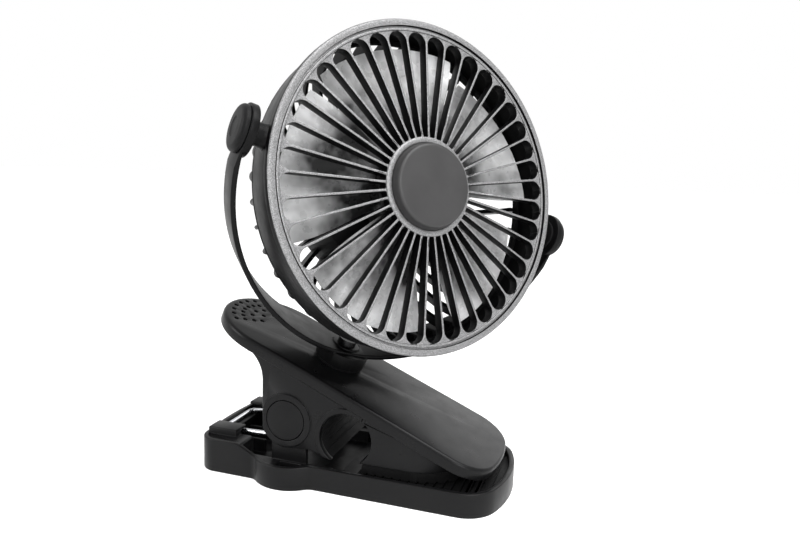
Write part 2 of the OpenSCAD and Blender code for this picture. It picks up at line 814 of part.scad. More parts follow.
module upper_jaw_pad() color(dark_rubber) pivot_frame() difference() {
    translate([0, 0, grip_pad_bottom]) linear_extrude(block_seat - grip_pad_bottom)
        block_plan(block_wall + seat_gap);
    along_x(far) notch_room(block_wall + seat_gap);
    for (y = [block_rear + block_wall + pad_groove_pitch:pad_groove_pitch:block_reach - 2 * block_wall])
        translate([-base_w, -y, grip_pad_bottom - 1])
            cube([2 * base_w, pad_groove_w, pad_groove_depth + 1]);
}

// Ribbed soft lining of the notch, between the ears
module tube_grip() color(dark_rubber) pivot_frame()
    along_x(2 * (ear_x - ear_t - seat_gap)) {
        notch_band(lining_r, lining_r + lining_t);
        intersection() {
            ear_outline();
            translate([-notch_y, -notch_z]) for (i = [0:lining_ribs - 1])
                rotate(-35 + i * 15) translate([lining_r + 0.3, 0]) circle(0.55, $fn = 24);
        }
    }

module pivot_pin() color(steel) pivot_frame() along_x(2 * pin_half_len) circle(pin_r);

module pivot_cap() color(black_plastic) pivot_frame() difference() {
    translate([(cap_x + cap_seat_x) / 2, 0, 0]) along_x(cap_x - cap_seat_x) circle(cap_r);
    along_x(2 * pin_half_len + 2 * fit_gap) circle(pin_r + fit_gap);
}

module pivot_cap_left() mirror([1, 0, 0]) pivot_cap();
module pivot_cap_right() pivot_cap();

// ---- Swivel ----

module swivel_bolt() color(steel) yoke_frame() {
    translate([0, 0, bolt_seat + slide_gap]) cylinder(h = bolt_head_h, r = bolt_d * 0.9);
    translate([0, 0, nut_top - nut_h - 1])
        cylinder(h = bolt_seat + slide_gap + lap - nut_top + nut_h + 1, r = bolt_r);
}

module swivel_washer() color(steel) yoke_frame()
    translate([0, 0, nut_top]) ring(bolt_d * 1.15, bolt_r + fit_gap, washer_t);

module swivel_nut() color(steel) yoke_frame() translate([0, 0, nut_top - nut_h]) difference() {
    cylinder(h = nut_h, r = nut_af / 2 / cos(30), $fn = 6);
    translate([0, 0, -1]) cylinder(h = nut_h + 2, r = bolt_r + fit_gap);
}

module swivel_friction_disc() color(dark_rubber) yoke_frame()
    translate([0, 0, foot_z + slide_gap]) ring(foot_r - 1, bolt_r + fit_gap, disc_t);

// ---- Yoke ----

// The band's edges seen from the side
module yoke_edges() polygon(concat(
    [[-yoke_front, far], [-yoke_front, -far], [yoke_foot_rear, -far]],
    [for (i = [yoke_steps:-1:0])
        let (t = i / yoke_steps)
        [yoke_rear + (yoke_foot_rear - yoke_rear) * pow(t, 1.6), -yoke_r * t]],
    [[yoke_rear, far]]));

module yoke() color(black_plastic) yoke_frame() difference() {
    union() {
        intersection() {
            rotate([90, 0, 0]) linear_extrude(far, center = true) difference() {
                intersection() {
                    circle(yoke_r, $fn = 180);
                    translate([-far, -far]) square([2 * far, far]);
                }
                circle(yoke_in_r, $fn = 180);
            }
            along_x(2 * arm_out_x) yoke_edges();
        }
        both_sides() translate([(arm_in_x + arm_out_x) / 2, 0, 0])
            along_x(arm_out_x - arm_in_x) circle(arm_end_r);
        translate([0, 0, foot_bottom]) cylinder(h = -yoke_in_r - foot_bottom - 1, r = foot_r);
        translate([0, 0, -yoke_in_r - lap]) cylinder(h = bolt_seat + yoke_in_r + lap, r = inner_boss_r);
    }
    translate([0, 0, -far]) cylinder(h = far, r = bolt_r + fit_gap);
    along_x(far) circle(stud_r + fit_gap);
}

// A knob that covers the head of a tilt screw, in the yoke's frame
module knob() rotate([0, 90, 0]) difference() {
    translate([0, 0, arm_out_x]) rotate_extrude() polygon([
        [0, 0], [knob_r, 0], [knob_r, knob_h * 0.3], [knob_r - 0.5, knob_h * 0.75],
        [knob_r - 1.4, knob_h * 0.94], [knob_r - 2.6, knob_h], [0, knob_h]]);
    translate([0, 0, arm_out_x - 1])
        cylinder(h = 1 + stud_head_h + 2 * slide_gap, r = stud_head_r + slide_gap);
}

module knob_left() color(black_plastic) yoke_frame() mirror([1, 0, 0]) knob();
module knob_right() color(black_plastic) yoke_frame() knob();

// ---- Tilt joint, in the yoke's frame: it does not move with the tilt ----

// A shouldered screw that the yoke's arm turns on
module tilt_screw() rotate([0, 90, 0]) {
    translate([0, 0, drum_rear_r - 1]) cylinder(h = arm_out_x - drum_rear_r + 1 + lap, r = thread_r);
    translate([0, 0, tilt_neck_x]) cylinder(h = arm_out_x + slide_gap - tilt_neck_x, r = stud_r);
    translate([0, 0, arm_out_x + slide_gap]) cylinder(h = stud_head_h, r = stud_head_r);
}

module tilt_washer() translate([tilt_neck_x + slide_gap, 0, 0]) rotate([0, 90, 0])
    ring(neck_r + 2.5, stud_r + fit_gap, tilt_washer_t);

module tilt_screw_left() color(steel) yoke_frame() mirror([1, 0, 0]) tilt_screw();
module tilt_screw_right() color(steel) yoke_frame() tilt_screw();
module tilt_washer_left() color(dark_rubber) yoke_frame() mirror([1, 0, 0]) tilt_washer();
module tilt_washer_right() color(dark_rubber) yoke_frame() tilt_washer();

// ---- Drum and front grille ----

module drum() color(black_plastic) head_frame() difference() {
    union() {
        rotate_extrude($fn = 180) polygon([
            [drum_rear_r, -drum_rear_z], [drum_front_r, drum_front_z],
            [drum_bore_r, drum_front_z], [drum_bore_r, -drum_rear_z]]);
        both_sides() translate([drum_bore_r + drum_wall / 2, 0, 0]) rotate([0, 90, 0])
            cylinder(h = tilt_neck_x - drum_bore_r - drum_wall / 2, r = neck_r);
    }
    along_x(far) circle(thread_r + fit_gap);
}

// One slot of the front grille, pointing along X
module grille_slot() {
    pitch = tan(slot_step / 2);
    out_half = (slot_out_r * pitch - spoke_out_w / 2) / (1 + pitch);
    in_half = slot_in_r * pitch - spoke_in_w / 2;
    out_x = slot_out_r - out_half;
    in_x = slot_in_r + in_half;
    translate([out_x, 0]) circle(out_half, $fn = 48);
    translate([in_x, 0]) circle(in_half, $fn = 24);
    polygon([[in_x, -in_half], [out_x, -out_half], [out_x, out_half], [in_x, in_half]]);
}

module front_grille() color(gunmetal) head_frame() difference() {
    rotate_extrude($fn = 180) polygon([
        [0, hub_plate_z - spoke_depth], [0, hub_plate_z], [hub_plate_r, hub_plate_z],
        [slot_out_r, plate_edge_z], [groove_in_r - 1, plate_edge_z + 0.5],
        [groove_in_r, plate_edge_z + 0.5], [groove_in_r, rim_z - groove_depth],
        [groove_out_r, rim_z - groove_depth], [groove_out_r, rim_z], [rim_r - 0.6, rim_z],
        [rim_r, rim_z - 0.6], [rim_r, drum_front_z + fit_gap],
        [drum_bore_r - seat_gap, drum_front_z + fit_gap],
        [drum_bore_r - seat_gap, drum_front_z - lip_depth],
        [drum_bore_r - seat_gap - lip_t, drum_front_z - lip_depth],
        [drum_bore_r - seat_gap - lip_t, plate_edge_z - spoke_depth],
        [slot_out_r - 1, plate_edge_z - spoke_depth], [hub_plate_r, hub_plate_z - spoke_depth]]);
    for (i = [0:slots - 1])
        rotate([0, 0, slot_turn + i * slot_step]) linear_extrude(far) grille_slot();
}

module hub_ring() color(steel) head_frame()
    translate([0, 0, hub_plate_z]) ring(hub_plate_r, hub_plate_r - hub_ring_w, hub_ring_h);

module hub_cap() color(black_plastic) head_frame() translate([0, 0, hub_plate_z]) rotate_extrude() polygon([
    [cap_base_r, 0], [cap_base_r - 0.6, hub_cap_h * 0.45], [hub_cap_r + 0.7, hub_cap_h - 0.5],
    [hub_cap_r, hub_cap_h], [0, hub_cap_h], [0, hub_cap_h - hub_cap_wall],
    [hub_cap_r - hub_cap_wall, hub_cap_h - hub_cap_wall], [cap_base_r - hub_cap_wall, 0]]);

// ---- Rear grille and housing ----

// A rear rib from the side: distance from the axis, then height
module rib_outline() intersection() {
    translate([dome_mid, dome_z]) difference() {
        circle(dome_r, $fn = 180);
        circle(dome_r - rib_depth, $fn = 180);
    }
    translate([housing_r - lap, -far - drum_rear_z - fit_gap - rear_rim_t / 2]) square([far, far]);
}

module rear_grille() color(black_plastic) head_frame() difference() {
    union() {
        translate([0, 0, -drum_rear_z - fit_gap - rear_rim_t])
            ring(drum_rear_r, drum_rear_r - rear_rim_w, rear_rim_t);
        translate([0, 0, -drum_rear_z - fit_gap - lap])
            ring(drum_bore_r - seat_gap, drum_rear_r - rear_rim_w, lip_depth);
        for (i = [0:slots - 1]) rotate([90, 0, rib_turn + i * slot_step])
            linear_extrude(rib_t, center = true) rib_outline();
        translate([0, 0, -housing_z]) ring(housing_r, housing_r - housing_wall, housing_z + housing_front_z);
        translate([0, 0, housing_floor_z]) cylinder(h = housing_wall, r = housing_r);
        for (turn = cover_screw_turns) rotate([0, 0, turn]) translate([cover_screw_r, 0, -housing_z])
            cylinder(h = housing_z + housing_floor_z + lap, r = cover_boss_r);
        for (x = [-1, 1], y = [board_low_y + 4, board_high_y - post_r])
            translate([x * (board_half_w - 2.5), y, board_z + board_t])
                cylinder(h = housing_floor_z + lap - board_z - board_t, r = post_r);
    }
    for (turn = cover_screw_turns) rotate([0, 0, turn]) translate([cover_screw_r, 0, -far])
        cylinder(h = far - housing_z + 9, r = screw_r + fit_gap);
    translate([0, 0, -far / 2]) cylinder(h = far, r = tube_r + fit_gap);
    rotate([0, 0, lead_turn]) translate([lead_pcr, 0, -far / 2]) cylinder(h = far, r = lead_hole_r, $fn = 32);
    for (turn = motor_screw_turns) rotate([0, 0, turn]) translate([motor_screw_pcr, 0, -far / 2])
        cylinder(h = far, r = motor_thread_r + fit_gap, $fn = 32);
}

// The power button from the side, swept about its own axis
module button_body() rotate_extrude() polygon([
    [0, cover_t + button_proud], [button_r - 0.8, cover_t + button_proud],
    [button_r, cover_t + button_proud - 0.8], [button_r, -slide_gap],
    [button_r + 1.2, -slide_gap], [button_r + 1.2, -slide_gap - button_flange_t],
    [0, -slide_gap - button_flange_t]]);

// Turns a piece that stands on the cover's inner face so that it points to the rear
module on_cover() translate([0, 0, -housing_z]) mirror([0, 0, 1]) children();

module rear_cover() color(black_plastic) head_frame() on_cover() difference() {
    rotate_extrude($fn = 180) polygon([
        [0, 0], [housing_r, 0], [housing_r, cover_t - 1.2], [housing_r - 0.4, cover_t - 0.4],
        [housing_r - 1.4, cover_t], [0, cover_t]]);
    translate([0, button_y, -1]) cylinder(h = far, r = button_r + slide_gap);
    translate([lens_x, button_y, -1]) cylinder(h = far, r = lens_r + slide_gap, $fn = 32);
    translate([-usb_w / 2 - seat_gap, usb_y - usb_h / 2 - seat_gap, -1])
        cube([usb_w + 2 * seat_gap, usb_h + 2 * seat_gap, far]);
    for (turn = cover_screw_turns) rotate([0, 0, turn]) cover_screw_hole();
}

// A screw's hole in the cover, with the seat of its head
module cover_screw_hole() translate([cover_screw_r, 0, 0]) {
    translate([0, 0, -1]) cylinder(h = far, r = screw_r + slide_gap, $fn = 32);
    translate([0, 0, cover_t - cover_head_h - slide_gap]) cylinder(h = far, r = cover_head_r + slide_gap);
}

module cover_screws() color(steel) head_frame() on_cover()
    for (turn = cover_screw_turns) rotate([0, 0, turn]) translate([cover_screw_r, 0, 0]) {
        translate([0, 0, -7]) cylinder(h = 7 + lap, r = screw_r, $fn = 32);
        translate([0, 0, -lap]) cylinder(h = cover_t - cover_head_h + lap, r = screw_r, $fn = 32);
        translate([0, 0, cover_t - cover_head_h]) difference() {
            cylinder(h = cover_head_h, r = cover_head_r);
            for (turn = [0, 90]) rotate([0, 0, turn])
                translate([-1.2, -0.25, cover_head_h - 0.6]) cube([2.4, 0.5, 1]);
        }
    }

module power_button() color(black_plastic) head_frame() on_cover() translate([0, button_y, 0]) button_body();

module status_lens() color(smoke) head_frame() on_cover() translate([lens_x, button_y, 0]) {
    translate([0, 0, -slide_gap - 1]) cylinder(h = 1, r = lens_r + 0.8, $fn = 48);
    translate([0, 0, -slide_gap - 3]) cylinder(h = cover_t + slide_gap + 3.2, r = lens_r, $fn = 32);
}

module usb_socket() color(steel) head_frame() translate([0, usb_y, board_z]) mirror([0, 0, 1]) {
    depth = housing_z + cover_t - 0.5 + board_z;
    difference() {
        translate([-usb_w / 2, -usb_h / 2, 0]) cube([usb_w, usb_h, depth]);
        translate([-usb_w / 2 + 0.4, -usb_h / 2 + 0.4, 1]) cube([usb_w - 0.8, usb_h - 0.8, depth]);
    }
    translate([-usb_w / 2 + 1.2, -0.35, 0.5]) cube([usb_w - 2.4, 0.7, depth - 1]);
}

// ---- Motor ----

module bearing_tube() color(black_plastic) head_frame() difference() {
    union() {
        translate([0, 0, housing_floor_z]) cylinder(h = tube_front_z - housing_floor_z, r = tube_r);
        translate([0, 0, housing_front_z]) cylinder(h = tube_flange_t, r = tube_flange_r);
    }
    translate([0, 0, -far / 2]) cylinder(h = far, r = bearing_shoulder_r);
    translate([0, 0, tube_front_z - bearing_w]) cylinder(h = far, r = bearing_r + 0.02);
    translate([0, 0, housing_floor_z - 1]) cylinder(h = rear_seat_h + bearing_w + 1, r = bearing_r + 0.02);
    for (turn = motor_screw_turns) rotate([0, 0, turn]) translate([motor_screw_pcr, 0, -far / 2])
        cylinder(h = far, r = motor_thread_r + fit_gap, $fn = 32);
    rotate([0, 0, lead_turn]) translate([lead_pcr, 0, -far / 2]) cylinder(h = far, r = lead_hole_r, $fn = 32);
}

module motor_screws() color(steel) head_frame()
    for (turn = motor_screw_turns) rotate([0, 0, turn])
        translate([motor_screw_pcr, 0, housing_front_z + tube_flange_t]) {
        cylinder(h = motor_screw_head_h, r = motor_screw_head_r);
        translate([0, 0, -tube_flange_t - housing_wall + 0.2])
            cylinder(h = tube_flange_t + housing_wall, r = motor_thread_r, $fn = 32);
    }

module front_bearing() color(steel) head_frame()
    translate([0, 0, tube_front_z - bearing_w]) ring(bearing_r, shaft_r + 0.02, bearing_w);

module rear_bearing() color(steel) head_frame()
    translate([0, 0, housing_floor_z + rear_seat_h]) ring(bearing_r, shaft_r + 0.02, bearing_w);

// The stator's laminations from the front
module core_outline() difference() {
    union() {
        circle(tube_r + core_ring_t);
        for (i = [0:poles - 1]) rotate(i * 360 / poles) translate([tube_r, -pole_w / 2])
            square([stator_r - tube_r - pole_face_h / 2, pole_w]);
        intersection() {
            difference() {
                circle(stator_r);
                circle(stator_r - pole_face_h);
            }
            for (i = [0:poles - 1]) rotate(i * 360 / poles)
                polygon([[0, 0], far * [cos(14), -sin(14)], far * [cos(14), sin(14)]]);
        }
    }
    circle(tube_r + fit_gap);
}

module stator_core() color(steel) head_frame()
    translate([0, 0, stator_z]) linear_extrude(stator_h) core_outline();

module stator_windings() color(copper) head_frame() for (i = [0:poles - 1])
    rotate([0, 0, i * 360 / poles]) {
        from_r = tube_r + core_ring_t + 0.4;
        depth = stator_r - pole_face_h - 0.2 - from_r;
        translate([from_r, 0, stator_z + stator_h / 2]) difference() {
            translate([0, -pole_w / 2 - coil_w, -stator_h / 2 - coil_w])
                cube([depth, pole_w + 2 * coil_w, stator_h + 2 * coil_w]);
            translate([-1, -pole_w / 2 - 0.02, -stator_h / 2 - 0.02])
                cube([depth + 2, pole_w + 0.04, stator_h + 0.04]);
        }
    }

// ---- Rotor ----

// A blade: a thin radial strip that turns as it rises, with its corners cut round
module blade(turn) rotate([0, 0, turn]) translate([0, 0, blade_z])
    linear_extrude(blade_h, twist = blade_span, slices = 14, segments = 10)
        polygon(concat(
            [for (i = [0:3]) blade_r * [cos(i * blade_t / 3), sin(i * blade_t / 3)]],
            [(hub_r - 1) * [cos(blade_t), sin(blade_t)], (hub_r - 1) * [1, 0]]));

module fan_blades() color(smoke) head_frame() {
    difference() {
        rotate_extrude() polygon([[0, hub_front_z], [hub_r - 1.5, hub_front_z], [hub_r, hub_front_z - 1.5],
            [hub_r, hub_rear_z], [hub_r - hub_wall, hub_rear_z], [hub_r - hub_wall, hub_front_z - hub_wall],
            [0, hub_front_z - hub_wall]]);
        translate([0, 0, hub_front_z - hub_wall - 1])
            cylinder(h = shaft_front_z + 0.1 - hub_front_z + hub_wall + 1, r = shaft_r + 0.01);
    }
    for (i = [0:blades - 1]) blade(i * 360 / blades);
}

module rotor_can() color(steel) head_frame() difference() {
    union() {
        translate([0, 0, hub_rear_z + 0.5]) ring(can_r, can_r - can_wall, can_front_z - hub_rear_z - 0.5);
        translate([0, 0, can_front_z - can_wall]) cylinder(h = can_wall, r = can_r);
        translate([0, 0, can_front_z - can_wall - can_boss_h]) cylinder(h = can_boss_h + lap, r = can_boss_r);
    }
    translate([0, 0, -far / 2]) cylinder(h = far, r = shaft_r + 0.01);
}

module magnet_ring() color("#3a3a3d") head_frame() translate([0, 0, magnet_rear_z])
    ring(can_r - can_wall - 0.01, can_r - can_wall - magnet_t, magnet_front_z - magnet_rear_z);

module motor_shaft() color(steel) head_frame() translate([0, 0, shaft_rear_z])
    cylinder(h = shaft_front_z - shaft_rear_z, r = shaft_r);

module shaft_clip() color(steel) head_frame() translate([0, 0, shaft_rear_z + 0.4])
    ring(shaft_r + 1.3, shaft_r + 0.01, 0.6);

// ---- Battery and electronics ----

// A rod along X in the cell's place
module along_cell(length, radius) translate([0, cell_y, cell_z]) along_x(length) circle(radius);

module battery_cell() color("#2b62a8") head_frame() along_cell(cell_len, cell_r);

module battery_holder() color(black_plastic) head_frame() difference() {
    half_w = cell_r + seat_gap + holder_t;
    end_x = cell_len / 2 + contact_t + 2 * fit_gap;
    union() {
        translate([-cell_len / 2 + 5, cell_y - half_w, cell_z])
            cube([cell_len - 10, 2 * half_w, housing_floor_z - cell_z]);
        translate([-end_x - holder_t, cell_y - holder_end_w / 2, cell_z - cell_r / 2])
            cube([2 * (end_x + holder_t), holder_end_w, housing_floor_z - cell_z + cell_r / 2]);
    }
    along_cell(2 * end_x, cell_r + fit_gap);
    translate([-end_x, cell_y - cell_r - fit_gap, -far + cell_z])
        cube([2 * end_x, 2 * (cell_r + fit_gap), far]);
}

module battery_contacts() color(brass) head_frame() both_sides()
    translate([contact_x, cell_y - 9, cell_z - 4]) cube([contact_t, 14, 8]);

// Leads from the contacts to the circuit board
module battery_leads() color("#a01818") head_frame() both_sides() {
    board_face = board_z + board_t + battery_lead_r + fit_gap;
    tag_x = contact_x + contact_t + battery_lead_r + 0.05;
    wire([[tag_x, cell_y - 8, cell_z + 3], [tag_x, cell_y - 8, cell_z - 4.9], [tag_x - 2, -11, cell_z - 7],
        [board_half_w + 3, -14, board_face + 0.5], [board_half_w - 2, -14, board_face]], battery_lead_r);
}

// The motor's three leads, from a winding through the housing's front to the board
module motor_leads() color("#c9b23a") head_frame() rotate([0, 0, lead_turn]) for (y = [-1, 0, 1])
    translate([lead_pcr, y * 2.2 * lead_r, board_z + board_t + 0.02])
        cylinder(h = stator_z - coil_w - 0.04 - board_z - board_t, r = lead_r, $fn = 24);

module circuit_board() color("#1d5c34") head_frame() {
    translate([-board_half_w, board_low_y, board_z])
        cube([2 * board_half_w, board_high_y - board_low_y, board_t]);
    translate([-3, button_y - 3, board_z - switch_h]) cube([6, 6, switch_h + lap]);
}

lower_jaw();
lower_jaw_pad();
clip_spring();
upper_jaw();
upper_jaw_pad();
tube_grip();
pivot_pin();
pivot_cap_left();
pivot_cap_right();
swivel_bolt();
swivel_washer();
swivel_nut();
yoke();
knob_left();
knob_right();
swivel_friction_disc();
drum();
front_grille();
hub_ring();
hub_cap();
rear_grille();
rear_cover();
cover_screws();
tilt_screw_left();
tilt_screw_right();
tilt_washer_left();
tilt_washer_right();
bearing_tube();
motor_screws();
front_bearing();
rear_bearing();
stator_core();
stator_windings();
battery_holder();
battery_cell();
battery_contacts();
battery_leads();
motor_leads();
circuit_board();
usb_socket();
status_lens();
fan_blades();
rotor_can();
magnet_ring();
motor_shaft();
shaft_clip();
power_button();
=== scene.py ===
# Portable clip fan: a slotted round head that tilts in a yoke, on a swivel above a sprung clip.
import math
import bpy
import bmesh
from mathutils import Matrix, Vector


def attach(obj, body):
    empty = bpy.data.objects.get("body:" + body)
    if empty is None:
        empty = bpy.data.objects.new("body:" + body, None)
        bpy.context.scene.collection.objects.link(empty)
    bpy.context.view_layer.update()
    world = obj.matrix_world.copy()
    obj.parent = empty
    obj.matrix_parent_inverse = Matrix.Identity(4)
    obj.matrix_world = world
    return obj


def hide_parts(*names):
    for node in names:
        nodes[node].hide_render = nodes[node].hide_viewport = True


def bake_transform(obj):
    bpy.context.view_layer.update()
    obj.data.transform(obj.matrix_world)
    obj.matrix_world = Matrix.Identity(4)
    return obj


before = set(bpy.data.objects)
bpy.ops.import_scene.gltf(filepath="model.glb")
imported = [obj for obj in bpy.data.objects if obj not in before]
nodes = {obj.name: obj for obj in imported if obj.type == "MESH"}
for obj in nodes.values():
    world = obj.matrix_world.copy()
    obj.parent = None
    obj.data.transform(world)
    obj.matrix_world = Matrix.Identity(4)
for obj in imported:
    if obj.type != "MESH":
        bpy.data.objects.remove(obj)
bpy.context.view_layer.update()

MM = 0.001

# ---- Camera and studio ----
# A pale floor and open white surroundings, lit by large soft lamps. The camera stands low at
# the fan's left and looks slightly down at it.
camera_place = Vector((-302.48, -115.70, 148.03)) * MM
camera_turn, camera_height, camera_roll = (math.radians(v) for v in (-71.879, 8.394, 1.8136))
camera_lens = 31.055

camera_back = Vector((math.sin(camera_turn) * math.cos(camera_height),
                      -math.cos(camera_turn) * math.cos(camera_height), math.sin(camera_height)))
level_right = Vector((math.cos(camera_turn), math.sin(camera_turn), 0))
level_up = camera_back.cross(level_right)
camera_right = level_right * math.cos(camera_roll) + level_up * math.sin(camera_roll)
camera_up = camera_back.cross(camera_right)
camera_data = bpy.data.cameras.new("camera")
camera_data.lens = camera_lens
camera_data.sensor_width = 36
camera_data.clip_start = 0.01
camera_data.clip_end = 50
camera = bpy.data.objects.new("camera", camera_data)
camera.matrix_world = Matrix.Translation(camera_place) @ Matrix(
    (camera_right, camera_up, camera_back)).transposed().to_4x4()
bpy.context.scene.collection.objects.link(camera)
bpy.context.scene.camera = camera
bpy.context.scene.view_settings.view_transform = "Standard"


def node_material(name):
    """A material with nodes, its node tree, and its Principled shader."""
    material = bpy.data.materials.new(name)
    material.use_nodes = True
    return material, material.node_tree, material.node_tree.nodes["Principled BSDF"]


def seen_ray(tree):
    """1 for rays from the camera, a reflection or a clear blade, and 0 for rays that only light."""
    path = tree.nodes.new("ShaderNodeLightPath")
    add = tree.nodes.new("ShaderNodeMath")
    add.operation = "ADD"
    add.use_clamp = True
    tree.links.new(path.outputs["Is Camera Ray"], add.inputs[0])
    tree.links.new(path.outputs["Is Glossy Ray"], add.inputs[1])
    both = tree.nodes.new("ShaderNodeMath")
    both.operation = "ADD"
    both.use_clamp = True
    tree.links.new(add.outputs[0], both.inputs[0])
    tree.links.new(path.outputs["Is Transmission Ray"], both.inputs[1])
    return both.outputs[0]


surround_light = 0.42
world = bpy.data.worlds.new("surround")
world.use_nodes = True
bpy.context.scene.world = world
surround = world.node_tree.nodes["Background"]
surround.inputs["Color"].default_value = (1, 1, 1, 1)
level = world.node_tree.nodes.new("ShaderNodeMapRange")
level.inputs["To Min"].default_value = surround_light
level.inputs["To Max"].default_value = 1
world.node_tree.links.new(seen_ray(world.node_tree), level.inputs["Value"])
world.node_tree.links.new(level.outputs[0], surround.inputs["Strength"])

floor_half = 6
glow_near, glow_far = 0.46, 0.7
glow_from, glow_to = 0.25, 1.3
floor_mesh = bpy.data.meshes.new("floor")
floor_corners = [(x * floor_half, y * floor_half, 0) for x, y in ((-1, -1), (1, -1), (1, 1), (-1, 1))]
floor_mesh.from_pydata(floor_corners, [], [(0, 1, 2, 3)])
floor = bpy.data.objects.new("floor", floor_mesh)
bpy.context.scene.collection.objects.link(floor)
floor_finish, tree, shader = node_material("floor_white")
shader.inputs["Base Color"].default_value = (0.86, 0.86, 0.86, 1)
shader.inputs["Roughness"].default_value = 0.9
shader.inputs["Emission Color"].default_value = (1, 1, 1, 1)
spot = tree.nodes.new("ShaderNodeTexCoord")
away = tree.nodes.new("ShaderNodeVectorMath")
away.operation = "LENGTH"
tree.links.new(spot.outputs["Object"], away.inputs[0])
rise = tree.nodes.new("ShaderNodeMapRange")
for label, value in (("From Min", glow_from), ("From Max", glow_to),
                     ("To Min", glow_near), ("To Max", glow_far)):
    rise.inputs[label].default_value = value
tree.links.new(away.outputs["Value"], rise.inputs["Value"])
glow = tree.nodes.new("ShaderNodeMath")
glow.operation = "MULTIPLY"
tree.links.new(seen_ray(tree), glow.inputs[0])
tree.links.new(rise.outputs[0], glow.inputs[1])
tree.links.new(glow.outputs[0], shader.inputs["Emission Strength"])
floor_mesh.materials.append(floor_finish)


def soft_lamp(name, place, aim, size, power):
    """A square soft lamp that points at a place on the fan. Millimetres and watts."""
    data = bpy.data.lights.new(name, "AREA")
    data.shape = "SQUARE"
    data.size = size * MM
    data.energy = power
    lamp = bpy.data.objects.new(name, data)
    lamp.location = Vector(place) * MM
    lamp.rotation_mode = "QUATERNION"
    lamp.rotation_quaternion = (Vector(aim) * MM - lamp.location).to_track_quat("-Z", "Y")
    bpy.context.scene.collection.objects.link(lamp)


soft_lamp("top_lamp", (-150, -350, 900), (0, -20, 80), 700, 9)
soft_lamp("front_lamp", (-900, -700, 500), (0, -20, 110), 600, 7)
soft_lamp("rear_lamp", (-500, 700, 450), (0, 20, 80), 500, 4)
soft_lamp("right_lamp", (820, -230, 400), (0, -50, 30), 450, 0.8)

# ---- Clip base ----
# A black moulded tray that stands on the table: a low rim round the pad, a raised rear end
# with the spring's pocket, and two lugs that carry the pivot pin.
base_black = (0.0052, 0.0052, 0.0055)
base_edge_round = 0.45
hook_round, hook_above, hook_behind = 0.72, 17.5, 50


def rounded_copy(name, node, radius, limit=32, segments=3, edge_radius=None, flat_limit=0.6):
    """A closed copy of a CAD node whose sharp edges are rounded. Millimetres and degrees.

    edge_radius gives a larger radius, or None, for an edge from its two ends."""
    mesh = nodes[node].data.copy()
    mesh.name = name
    mesh.materials.clear()
    shape = bmesh.new()
    shape.from_mesh(mesh)
    bmesh.ops.remove_doubles(shape, verts=shape.verts, dist=0.0015 * MM)
    if flat_limit:
        bmesh.ops.dissolve_limit(shape, angle_limit=math.radians(flat_limit), verts=shape.verts,
                                 edges=shape.edges, use_dissolve_boundaries=False)
    weight = shape.edges.layers.float.new("bevel_weight_edge")
    largest = radius
    sizes = {}
    for edge in shape.edges:
        if len(edge.link_faces) == 2 and edge.calc_face_angle(0) > math.radians(limit):
            wider = edge_radius(*(v.co / MM for v in edge.verts)) if edge_radius else None
            sizes[edge] = wider or radius
            largest = max(largest, sizes[edge])
    for edge, size in sizes.items():
        edge[weight] = size / largest
    shape.to_mesh(mesh)
    shape.free()
    piece = bpy.data.objects.new(name, mesh)
    bpy.context.scene.collection.objects.link(piece)
    bevel = piece.modifiers.new("edges", "BEVEL")
    bevel.limit_method = "WEIGHT"
    bevel.width = largest * MM
    bevel.segments = segments
    bevel.use_clamp_overlap = False
    bevel.miter_outer = "MITER_ARC"
    return plain(piece, limit)


def plain(piece, limit=32):
    """Turns a piece's modifiers into mesh, shaded smooth but for edges sharper than the limit."""
    graph = bpy.context.evaluated_depsgraph_get()
    mesh = bpy.data.meshes.new_from_object(piece.evaluated_get(graph))
    mesh.name = piece.name
    piece.modifiers.clear()
    piece.data = mesh
    mesh.shade_smooth()
    mesh.set_sharp_from_angle(angle=math.radians(limit))
    return piece


def noise(tree, scale, detail=2, rough=0.5, squeeze=(1, 1, 1)):
    """Smooth noise on the piece's own coordinates, with a scale in patches per metre."""
    place = tree.nodes.new("ShaderNodeTexCoord")
    turn = tree.nodes.new("ShaderNodeMapping")
    turn.inputs["Scale"].default_value = squeeze
    cloud = tree.nodes.new("ShaderNodeTexNoise")
    cloud.inputs["Scale"].default_value = scale
    cloud.inputs["Detail"].default_value = detail
    cloud.inputs["Roughness"].default_value = rough
    tree.links.new(place.outputs["Object"], turn.inputs["Vector"])
    tree.links.new(turn.outputs["Vector"], cloud.inputs["Vector"])
    return cloud.outputs["Fac"]


def spread(tree, value, low, high, from_low=0.3, from_high=0.7):
    """The value from one range carried over to another."""
    rule = tree.nodes.new("ShaderNodeMapRange")
    rule.inputs["From Min"].default_value = from_low
    rule.inputs["From Max"].default_value = from_high
    rule.inputs["To Min"].default_value = low
    rule.inputs["To Max"].default_value = high
    tree.links.new(value, rule.inputs["Value"])
    return rule.outputs[0]


def mixed(tree, factor, one, other):
    """A colour between two, each a colour or a socket."""
    mix = tree.nodes.new("ShaderNodeMix")
    mix.data_type = "RGBA"
    for socket, colour in ((mix.inputs[6], one), (mix.inputs[7], other)):
        if isinstance(colour, tuple):
            socket.default_value = (*colour, 1)
        else:
            tree.links.new(colour, socket)
    tree.links.new(factor, mix.inputs[0])
    return mix.outputs[2]


def bumps(tree, shader, height, depth, strength=1.0):
    """Fine relief from a height socket, its depth in millimetres."""
    bump = tree.nodes.new("ShaderNodeBump")
    bump.inputs["Strength"].default_value = strength
    bump.inputs["Distance"].default_value = depth * MM
    tree.links.new(height, bump.inputs["Height"])
    tree.links.new(bump.outputs["Normal"], shader.inputs["Normal"])


